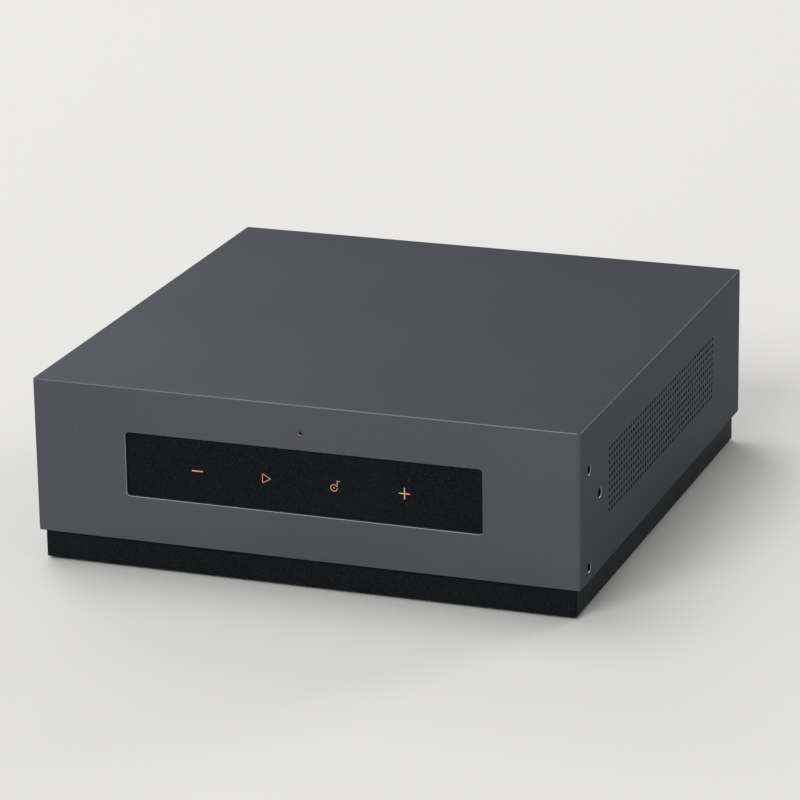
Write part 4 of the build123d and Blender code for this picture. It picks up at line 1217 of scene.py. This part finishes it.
@dataclass
class BindingPosts:
    """Four screw-down speaker posts with captive washers and ribbed caps."""

    names: tuple[str, ...] = ("left_plus", "right_plus", "left_minus", "right_minus")
    spacing: float = 19.05
    stud_radius: float = 3.5
    bore_radius: float = 2.0
    bore_depth: float = 12.0
    stud_bevel: float = 0.5      # of the stud's end
    pitch: float = 0.8
    groove: float = 0.28         # depth of the thread
    turn_rows: int = 6           # rows of points in each turn of it
    stud_sides: int = 36
    slide_radius: float = 3.56   # bore of the caps and the washers
    washer_radius: float = 5.6
    washer_bevel: float = 0.2
    washer_groove: tuple[float, float, float] = (4.6, 0.1, 0.12)   # radius, half width and depth
    cap_sides: int = 144
    cap_share: float = 0.985     # of the corners' radius that the collar and the soft corners have
    ribs: tuple[int, float] = (36, 0.16)         # how many, and how deep
    sign: tuple[float, float, float] = (2.6, 0.45, 0.2)    # reach, line, and the minus's corner radius

    def cap(self, name: str) -> None:
        """A cap whose radius is a function of the angle and of the place along it.

        The collar is round with fine ribs, a wave of the angle. The grip is a hexagon with soft
        corners: its radius is the flat's radius over the cosine of the angle from the flat's
        middle, held to the collar's radius. It is turned by a twelfth, and its end is bevelled.

        Args:
            name: Which post.
        """
        low, high = cad_box("post_cap_" + name)
        middle = cad_middle("post_cap_" + name)
        corner = (high[0] - low[0]) / 2
        length = high[1] - low[1]
        angle = np.arange(self.cap_sides) * 2 * math.pi / self.cap_sides
        folded = (angle + math.pi / 6) % (math.pi / 3) - math.pi / 6
        flat = corner * math.cos(math.pi / 6)
        held = corner * self.cap_share
        grip = np.roll(np.minimum(flat / np.cos(folded), held), self.cap_sides // 12)
        count, deep = self.ribs
        collar = held - deep * (0.5 + 0.5 * np.cos(count * angle))
        bore = np.full(self.cap_sides, self.slide_radius)
        foot = np.full(self.cap_sides, corner)
        # Each row is a shape, what is taken off its radius, and its place along the cap.
        rows = [(bore, 0.0, 0.0), (foot, 0.7, 0.0), (collar, 0.35, 0.0), (collar, 0.0, 0.35),
                (collar, 0.0, 3.9), (collar, 0.35, 4.25), (collar, 0.9, 4.4), (collar, 0.9, 5.1),
                (grip, 0.25, 5.5), (grip, 0.0, 5.9), (grip, 0.0, length - 1.0),
                (grip, 0.25, length - 0.45), (grip, 0.8, length - 0.1), (grip, 1.3, length),
                (bore, 0.0, length), (bore, 0.0, 0.0)]
        radius = np.array([shape - inset for shape, inset, _ in rows])
        along = np.array([[w] for _, _, w in rows])
        patch = loft(polar(radius, along)).placed(Facing.REAR, (middle[0], low[1], middle[2]))
        finish = CAP_RED if name.endswith("plus") else CAP_BLACK
        make_piece("cap_grip_" + name, patch, finish, "cap_" + name, ["post_cap_" + name], crease=50)

    def washer(self, name: str) -> None:
        """A washer with a bevelled rim and a fine turned groove.

        Args:
            name: Which post.
        """
        low, high = cad_box("post_washer_" + name)
        middle = cad_middle("post_washer_" + name)
        height = high[1] - low[1]
        bore, radius, bevel = self.slide_radius, self.washer_radius, self.washer_bevel
        groove, half, deep = self.washer_groove
        profile = [(bore, 0), (radius - bevel, 0), (radius, bevel), (radius, height - bevel),
                   (radius - bevel, height), (groove + half, height), (groove, height - deep),
                   (groove - half, height), (bore, height), (bore, 0)]
        ring = lathe(profile, sides=64).placed(Facing.REAR, (middle[0], low[1], middle[2]))
        make_piece("washer_ring_" + name, ring, GOLD, "washer_" + name, ["post_washer_" + name])

    def studs(self) -> None:
        """Makes four threaded studs with a banana plug's bore.

        The thread is a wave of the radius: it falls by the groove's depth and rises again once
        in each pitch along the stud, shifted round by the angle, so the groove climbs as a helix.
        """
        middle = cad_middle("post_studs")
        seat = cad_box("terminal_plate")[1][1]
        end = cad_box("post_studs")[1][1] - seat
        along = np.linspace(0.0, end - self.stud_bevel, int(end / self.pitch * self.turn_rows))[:, None]
        share = np.arange(self.stud_sides) / self.stud_sides
        wave = abs((along / self.pitch + share) % 1.0 - 0.5) * 2
        tip = [(self.stud_radius - self.stud_bevel, end), (self.bore_radius + 0.3, end),
               (self.bore_radius, end - 0.3), (self.bore_radius, end - self.bore_depth),
               (0.0, end - self.bore_depth)]
        stud = loft(np.concatenate([turned([(0.0, 0.0)], self.stud_sides),
                                    polar(self.stud_radius - self.groove * wave, along),
                                    turned(tip, self.stud_sides)]))
        half = self.spacing / 2
        studs = [stud.placed(Facing.REAR, (middle[0] + x, seat, middle[2] + z))
                 for z in (half, -half) for x in (half, -half)]
        make_piece("stud_threads", join(studs), GOLD, "chassis", ["post_studs"])

    def signs(self) -> None:
        """Prints a plus between the upper caps and a minus between the lower ones."""
        low, high = cad_box("post_studs")
        middle = cad_middle("post_studs")
        face = cad_box("terminal_plate")[1][1]
        reach, line, corner = self.sign
        plus = printed(cross(reach, line), (0.0, high[2] - self.stud_radius))
        minus = printed(rounded(reach, line, corner), (0.0, low[2] + self.stud_radius))
        marks = join([plus, minus]).placed(Facing.REAR, (middle[0], face, 0.0))
        make_piece("polarity_signs", marks, INK_WHITE, "chassis")

    def build(self) -> None:
        """Makes the posts and dresses their plate."""
        for name in self.names:
            self.cap(name)
            self.washer(name)
        self.studs()
        self.signs()
        dress("terminal_plate", ERODED)
        dress("post_nuts", ZINC)
        dress("terminal_board", BOARD)


@dataclass
class PhonoJacks:
    """Three phono jacks: gold barrels, coloured insulators and black bodies."""

    radius: float = 4.15
    bore: float = 3.4
    pin_hole: float = 1.6
    pin_depth: float = 7.0
    groove: float = 0.12         # depth of the groove behind the barrel's lip
    colours: tuple[tuple[str, Finish], ...] = (("red", PLASTIC_RED), ("white", PLASTIC_WHITE),
                                               ("black", PLASTIC_BLACK))

    def barrel(self, length: float) -> Patch:
        """A tube with a grooved foot and a rounded mouth.

        Args:
            length: From the body to the mouth.

        Returns:
            The tube.
        """
        outer, inner = self.radius, self.bore
        return lathe([(outer, 0), (outer, 0.8), (outer - self.groove, 0.9), (outer - self.groove, 1.3),
                      (outer, 1.4), (outer, length - 0.45), (outer - self.groove, length - 0.15),
                      (outer - 0.3, length), (inner + 0.15, length), (inner, length - 0.15),
                      (inner, length - 1.2), (inner, 0), (outer, 0)], sides=64)

    def insulator(self, length: float) -> Patch:
        """A plug in the barrel, with a ring groove and the pin's hole in its face.

        Args:
            length: From the body to its face.

        Returns:
            The plug.
        """
        outer, hole = self.bore - 0.01, self.pin_hole
        return lathe([(0.0, 0.1), (outer, 0.1), (outer, length - 0.2), (self.bore - 0.2, length),
                      (2.5, length), (2.4, length - 0.35), (2.05, length - 0.35), (1.95, length),
                      (hole + 0.15, length), (hole, length - 0.15), (hole, length - self.pin_depth),
                      (0.0, length - self.pin_depth)])

    def build(self) -> None:
        """Makes the barrels and insulators at the places of the CAD inserts."""
        low, high = cad_box("phono_barrels")
        barrels = []
        for colour, finish in self.colours:
            node = "phono_insert_" + colour
            middle = cad_middle(node)
            at = (middle[0], low[1], middle[2])
            barrels.append(self.barrel(high[1] - low[1]).placed(Facing.REAR, at))
            plug = self.insulator(cad_box(node)[1][1] - low[1]).placed(Facing.REAR, at)
            make_piece("insulator_" + colour, plug, finish, "chassis", [node])
        make_piece("barrel_tubes", join(barrels), GOLD, "chassis", ["phono_barrels"])
        dress("phono_bodies", PLASTIC_BLACK)


@dataclass
class MainsInlet:
    """The figure-eight mains inlet with its two pins."""

    circle_radius: float = 4.2
    circle_shift: float = 3.6
    waist: float = 3.7
    depth: float = 11.0
    sides: int = 96              # points of the recess's outline
    flare: float = 1.03          # of the recess at the face, as a share of its size below
    draft: float = 0.985         # of the recess at its floor
    rim_round: float = 2.0       # corner radius of the rim
    rim_points: int = 12         # in each straight side of it
    rim_thickness: float = 1.2
    bevel: float = 0.3           # round its face
    pin_radius: float = 1.18
    pin_shift: float = 4.3

    def recess(self) -> np.ndarray:
        """Outline of the recess.

        At each angle it is the furthest of three shapes about the middle: either circle, met at
        shift times the cosine plus the root of radius squared less (shift times the sine)
        squared, and the waist's box.

        Returns:
            The points, anticlockwise.
        """
        ring = circle(1.0, self.sides)
        cosine, sine = ring.T
        under = self.circle_radius ** 2 - (self.circle_shift * sine) ** 2
        lobe = self.circle_shift * abs(cosine) + np.sqrt(np.maximum(under, 0))
        box = np.minimum(self.circle_shift / np.maximum(abs(cosine), 1e-6),
                         self.waist / np.maximum(abs(sine), 1e-6))
        return np.maximum(lobe, box)[:, None] * ring

    def face(self) -> None:
        """Makes the moulded rim, its flat face and the recess in it."""
        low, high = cad_box("mains_inlet")
        middle = cad_middle("mains_inlet")
        width, _, height = high - low
        depth = high[1] - low[1]
        rim = slab(width, height, self.rim_round,
                   [(INLET_LAP, -depth), (INLET_LAP, -self.rim_thickness), (0, -self.rim_thickness),
                    (0, -self.bevel), (0.3 * self.bevel, -0.3 * self.bevel), (self.bevel, 0)],
                   (True, False), self.rim_points)
        edge = rounded(width - 2 * self.bevel, height - 2 * self.bevel, self.rim_round - self.bevel,
                       extra=self.rim_points)
        mouth = self.recess()
        edge_order, edge_angle = rising(edge, np.zeros(2))
        mouth_order, mouth_angle = rising(mouth * self.flare, np.zeros(2))
        flat = lifted(np.concatenate([edge[edge_order], (mouth * self.flare)[mouth_order]]), 0.0)
        plate = Patch(flat, [zipper(edge_angle, mouth_angle)], [False])
        walls = loft(np.array([lifted(mouth * share, w) for share, w in (
            (self.flare, 0.0), (1.0, -0.25), (self.draft, -self.depth), (0.0, -self.depth))]))
        patch = join([rim, plate, walls]).placed(Facing.REAR, (middle[0], high[1], middle[2]))
        make_piece("inlet_face", patch, PLASTIC_BLACK, "chassis", ["mains_inlet"], crease=40)

    def pins(self) -> None:
        """Makes two round pins with domed tips on the recess's floor."""
        middle = cad_middle("mains_inlet")
        floor = cad_box("mains_inlet")[1][1] - self.depth
        length = cad_box("mains_pins")[1][1] - floor
        pin = lathe([(0, 0), (self.pin_radius, 0), (self.pin_radius, length - 0.7), (0.95, length - 0.25),
                     (0.5, length), (0, length)], sides=24)
        pins = [pin.placed(Facing.REAR, (middle[0] + shift, floor, middle[2]))
                for shift in (-self.pin_shift, self.pin_shift)]
        make_piece("inlet_pins", join(pins), NICKEL, "chassis", ["mains_pins"])

    def build(self) -> None:
        """Makes the inlet's face and its pins."""
        self.face()
        self.pins()


@dataclass
class SignalSockets:
    """The optical, display, data, network and trigger sockets and the setup button."""

    nose: float = 1.6            # of the trigger jack, out of the panel
    jack_depth: float = 11.0
    jack_bore: tuple[float, float] = (1.8, 9.0)  # radius and depth
    flap_cheeks: float = 2.3     # by how much the flap is narrower than its pin is long
    flap: tuple[float, float] = (0.4, 0.8)       # from the pin's axis to its face, and thickness
    tongue_back: float = 1.0     # from the data socket's mouth to its tongue
    data_pins: tuple[float, ...] = (-3.5, -1.0, 1.0, 3.5)
    data_pin: tuple[float, float] = (1.0, 0.2)   # width and thickness
    data_under: float = 0.06     # from the tongue's underside to their middle
    network_sill: float = 2.6    # from the socket's foot to the floor of its mouth
    network_pitch: float = 1.02
    network_pins: int = 8
    network_pin: tuple[float, float] = (0.5, 0.25)     # width and thickness

    def trigger(self) -> None:
        """Makes the trigger jack: its round nose, turned, with its bore."""
        middle = cad_middle("trigger_jack")
        panel = cad_box("trigger_jack")[1][1] - self.nose
        bore, depth = self.jack_bore
        nose = self.nose
        patch = lathe([(0, -self.jack_depth), (NOSE_RADIUS, -self.jack_depth), (NOSE_RADIUS, nose - 0.25),
                       (NOSE_RADIUS - 0.25, nose), (bore + 0.3, nose), (bore, nose - 0.3),
                       (bore, -depth), (0, -depth)])
        patch = patch.placed(Facing.REAR, (middle[0], panel, middle[2]))
        make_piece("trigger_nose", patch, PLASTIC_BLACK, "chassis", ["trigger_jack"])

    def button(self) -> None:
        """Makes the setup button: a short rod with a dished face."""
        low, high = cad_box("setup_button")
        middle = cad_middle("setup_button")
        length = high[1] - low[1]
        patch = lathe([(0, 0), (ROD_RADIUS, 0), (ROD_RADIUS, length - 0.2), (ROD_RADIUS - 0.2, length),
                       (1.3, length), (0.9, length - 0.1), (0, length - 0.15)], sides=40)
        patch = patch.placed(Facing.REAR, (middle[0], low[1], middle[2]))
        make_piece("button_rod", patch, PLASTIC_BLACK, "button", ["setup_button"])

    def shutter(self) -> None:
        """Makes the optical socket's flap and its pin.

        The flap is a plate with a raised square round a shallow dish.
        """
        low, high = cad_box("optical_shutter")
        middle = cad_middle("optical_shutter")
        pin = (high[1] - low[1]) / 2
        axis = high[2] - pin
        length = high[0] - low[0]
        face, thickness = self.flap
        height = axis - low[2]
        plate = slab(length - self.flap_cheeks, height, radius=0.15,
                     levels=[(0.0, -thickness), (0.0, -0.25), (0.1, -0.15), (0.9, -0.15), (0.98, 0.0),
                             (1.35, 0.0), (1.43, -0.15), (2.6, -0.2)])
        plate = plate.placed(Facing.REAR, (middle[0], middle[1] + face, low[2] + height / 2))
        rod = lathe([(0.0, 0.0), (pin - 0.1, 0.0), (pin, 0.1), (pin, length - 0.1), (pin - 0.1, length),
                     (0.0, length)], sides=24)
        rod = rod.placed(Facing.RIGHT, (low[0], middle[1], axis))
        make_piece("shutter_flap", join([plate, rod]), PLASTIC_BLACK, "shutter", ["optical_shutter"],
                   crease=30)

    def tongue(self) -> None:
        """Makes the data socket's tongue with four contacts under it."""
        low, high = cad_box("data_tongue")
        middle = cad_middle("data_tongue")
        length = cad_box("data_shell")[1][1] - self.tongue_back - low[1]
        width, _, height = high - low
        blade = slab(width, height, radius=0.2,
                     levels=[(0.0, 0.0), (0.0, length - 0.3), (0.1, length - 0.1), (0.3, length)])
        blade = blade.placed(Facing.REAR, (middle[0], low[1], middle[2]))
        make_piece("data_blade", blade, PLASTIC_WHITE, "chassis", ["data_tongue"])
        under = -height / 2 - self.data_under
        contact = wire([(under, 4.0), (under, length - 0.8), (under + 0.1, length - 0.4)], *self.data_pin)
        contacts = [contact.placed(Facing.REAR, (middle[0] + x, low[1], middle[2])) for x in self.data_pins]
        make_piece("data_contacts", join(contacts), GOLD, "chassis")

    def contacts(self) -> None:
        """Makes eight sprung wires that rise from the network socket's sill towards its back."""
        low, high = cad_box("network_socket")
        middle = cad_middle("network_socket")
        contact = wire([(3.2, -11.0), (0.9, -4.6), (0.45, -3.6), (0.15, -3.2)], *self.network_pin)
        xs = (np.arange(self.network_pins) - (self.network_pins - 1) / 2) * self.network_pitch
        contacts = [contact.placed(Facing.REAR, (middle[0] + x, high[1], low[2] + self.network_sill))
                    for x in xs]
        make_piece("network_contacts", join(contacts), GOLD, "chassis")

    def build(self) -> None:
        """Makes the turned pieces, the flap and the contacts, and dresses the rest."""
        self.trigger()
        self.button()
        self.shutter()
        self.tongue()
        self.contacts()
        for node, finish in (("optical_socket", PLASTIC_BLACK), ("display_shell", NICKEL),
                             ("display_tongue", PLASTIC_BLACK), ("data_shell", NICKEL),
                             ("network_socket", PLASTIC_BLACK), ("setup_switch", PLASTIC_BLACK)):
            dress(node, finish)


@dataclass
class Electronics:
    """What stands on the boards inside: it keeps its CAD shapes and gets its real finishes."""

    finishes: tuple[tuple[str, Finish], ...] = (
        ("main_board", BOARD), ("power_board", BOARD), ("aerials", BOARD), ("amplifier_chips", EPOXY),
        ("heat_sink", EXTRUSION), ("output_chokes", EPOXY), ("player_module", NICKEL),
        ("transformer_core", FERRITE), ("transformer_winding", TAPE), ("mains_filter", TAPE),
        ("reservoir_capacitors", SLEEVE), ("mains_fuse", GLASS), ("supply_heat_plate", MILL),
        ("touch_ribbon", RIBBON), ("supply_lead", RIBBON))

    def build(self) -> None:
        """Dresses each piece."""
        for node, finish in self.finishes:
            dress(node, finish)


@dataclass
class Studio:
    """A pale floor, soft lamps and the camera at the photograph's angle."""

    eye: tuple[float, float, float] = (455.61, -1247.11, 475.56)     # of the camera, in millimetres
    azimuth: float = 20.22325
    elevation: float = 18.44462
    roll: float = -0.89843
    lens: float = 180.468
    floor_size: float = 12.0     # metres
    backdrop: float = 0.7        # strength of the surround where it is seen or mirrored
    surround: float = 0.32       # and where it only lights
    aim: tuple[float, float, float] = (0.0, 0.0, 0.04)     # where the lamps look, in metres
    # Each lamp's name, place and side in metres, and power in watts.
    lamps: tuple[tuple[str, tuple[float, float, float], float, float], ...] = (
        ("lamp_front", (-0.9, -4.2, 3.0), 2.4, 150.0), ("lamp_above", (-1.2, 0.6, 3.2), 2.0, 40.0),
        ("lamp_back", (-2.6, 3.2, 2.0), 2.0, 36.0), ("lamp_right", (2.2, 3.6, 0.9), 1.4, 60.0))

    def camera(self) -> None:
        """Puts the camera where the fit of the case's corners puts it."""
        data = bpy.data.cameras.new("camera")
        data.lens = self.lens
        data.sensor_width = 36.0
        data.clip_end = 60.0
        seen = bpy.data.objects.new("camera", data)
        azimuth, elevation, roll = (math.radians(a) for a in (self.azimuth, self.elevation, self.roll))
        back = Vector((math.sin(azimuth) * math.cos(elevation), -math.cos(azimuth) * math.cos(elevation),
                       math.sin(elevation)))
        right = (-back).cross(Vector((0, 0, 1))).normalized()
        up = right.cross(-back)
        turned_right = right * math.cos(roll) + up * math.sin(roll)
        turned_up = up * math.cos(roll) - right * math.sin(roll)
        turn = Matrix((turned_right, turned_up, back)).transposed().to_4x4()
        seen.matrix_world = Matrix.Translation(Vector(self.eye) * MM) @ turn
        bpy.context.scene.collection.objects.link(seen)
        bpy.context.scene.camera = seen

    def lamp(self, name: str, place: tuple[float, float, float], size: float, watts: float) -> None:
        """Hangs one square area lamp that looks at the middle of the object.

        Args:
            name: Its name.
            place: Where it hangs, in metres.
            size: Its side, in metres.
            watts: Its power.
        """
        data = bpy.data.lights.new(name, "AREA")
        data.size = size
        data.energy = watts
        hung = bpy.data.objects.new(name, data)
        way = Vector(self.aim) - Vector(place)
        hung.matrix_world = Matrix.Translation(place) @ way.to_track_quat("-Z", "Y").to_matrix().to_4x4()
        bpy.context.scene.collection.objects.link(hung)

    def floor(self) -> None:
        """Lays a wide plain sheet under the object."""
        half = self.floor_size / 2
        mesh = bpy.data.meshes.new("floor")
        mesh.from_pydata([(-half, -half, 0), (half, -half, 0), (half, half, 0), (-half, half, 0)], [],
                         [(0, 1, 2, 3)])
        mesh.materials.append(PAPER.material())
        sheet = bpy.data.objects.new("floor", mesh)
        bpy.context.scene.collection.objects.link(sheet)

    def world(self) -> None:
        """Sets an even pale surround, at full strength only where it is seen or mirrored."""
        world = bpy.data.worlds.new("surround")
        world.use_nodes = True
        bpy.context.scene.world = world
        tree = world.node_tree
        path = add_node(tree, "ShaderNodeLightPath")
        clear = add_node(tree, "ShaderNodeMath", {"operation": "MAXIMUM"},
                         {0: path.outputs["Is Camera Ray"], 1: path.outputs["Is Transmission Ray"]})
        seen = add_node(tree, "ShaderNodeMath", {"operation": "MAXIMUM"},
                        {0: clear.outputs[0], 1: path.outputs["Is Glossy Ray"]})
        level = add_node(tree, "ShaderNodeMapRange", {"To Min": self.surround, "To Max": self.backdrop},
                         {"Value": seen.outputs[0]})
        tree.nodes["Background"].inputs["Color"].default_value = linear("#FFFFFF")
        tree.links.new(level.outputs["Result"], tree.nodes["Background"].inputs["Strength"])

    def build(self) -> None:
        """Sets the camera, the floor, the lamps and the surround."""
        bpy.context.scene.view_settings.view_transform = "Standard"
        self.camera()
        self.floor()
        self.world()
        for row in self.lamps:
            self.lamp(*row)


def main() -> None:
    """Builds the sub-assemblies in order and reports each piece."""
    logging.basicConfig(level=logging.INFO, format="%(message)s")
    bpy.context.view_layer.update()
    Studio().build()
    for part in (Cover(), TouchStrip(), Chassis(), BindingPosts(), PhonoJacks(), MainsInlet(),
                 SignalSockets(), Electronics()):
        part.build()
        LOG.info("%s is built", type(part).__name__)


if __name__ == "__main__":
    main()
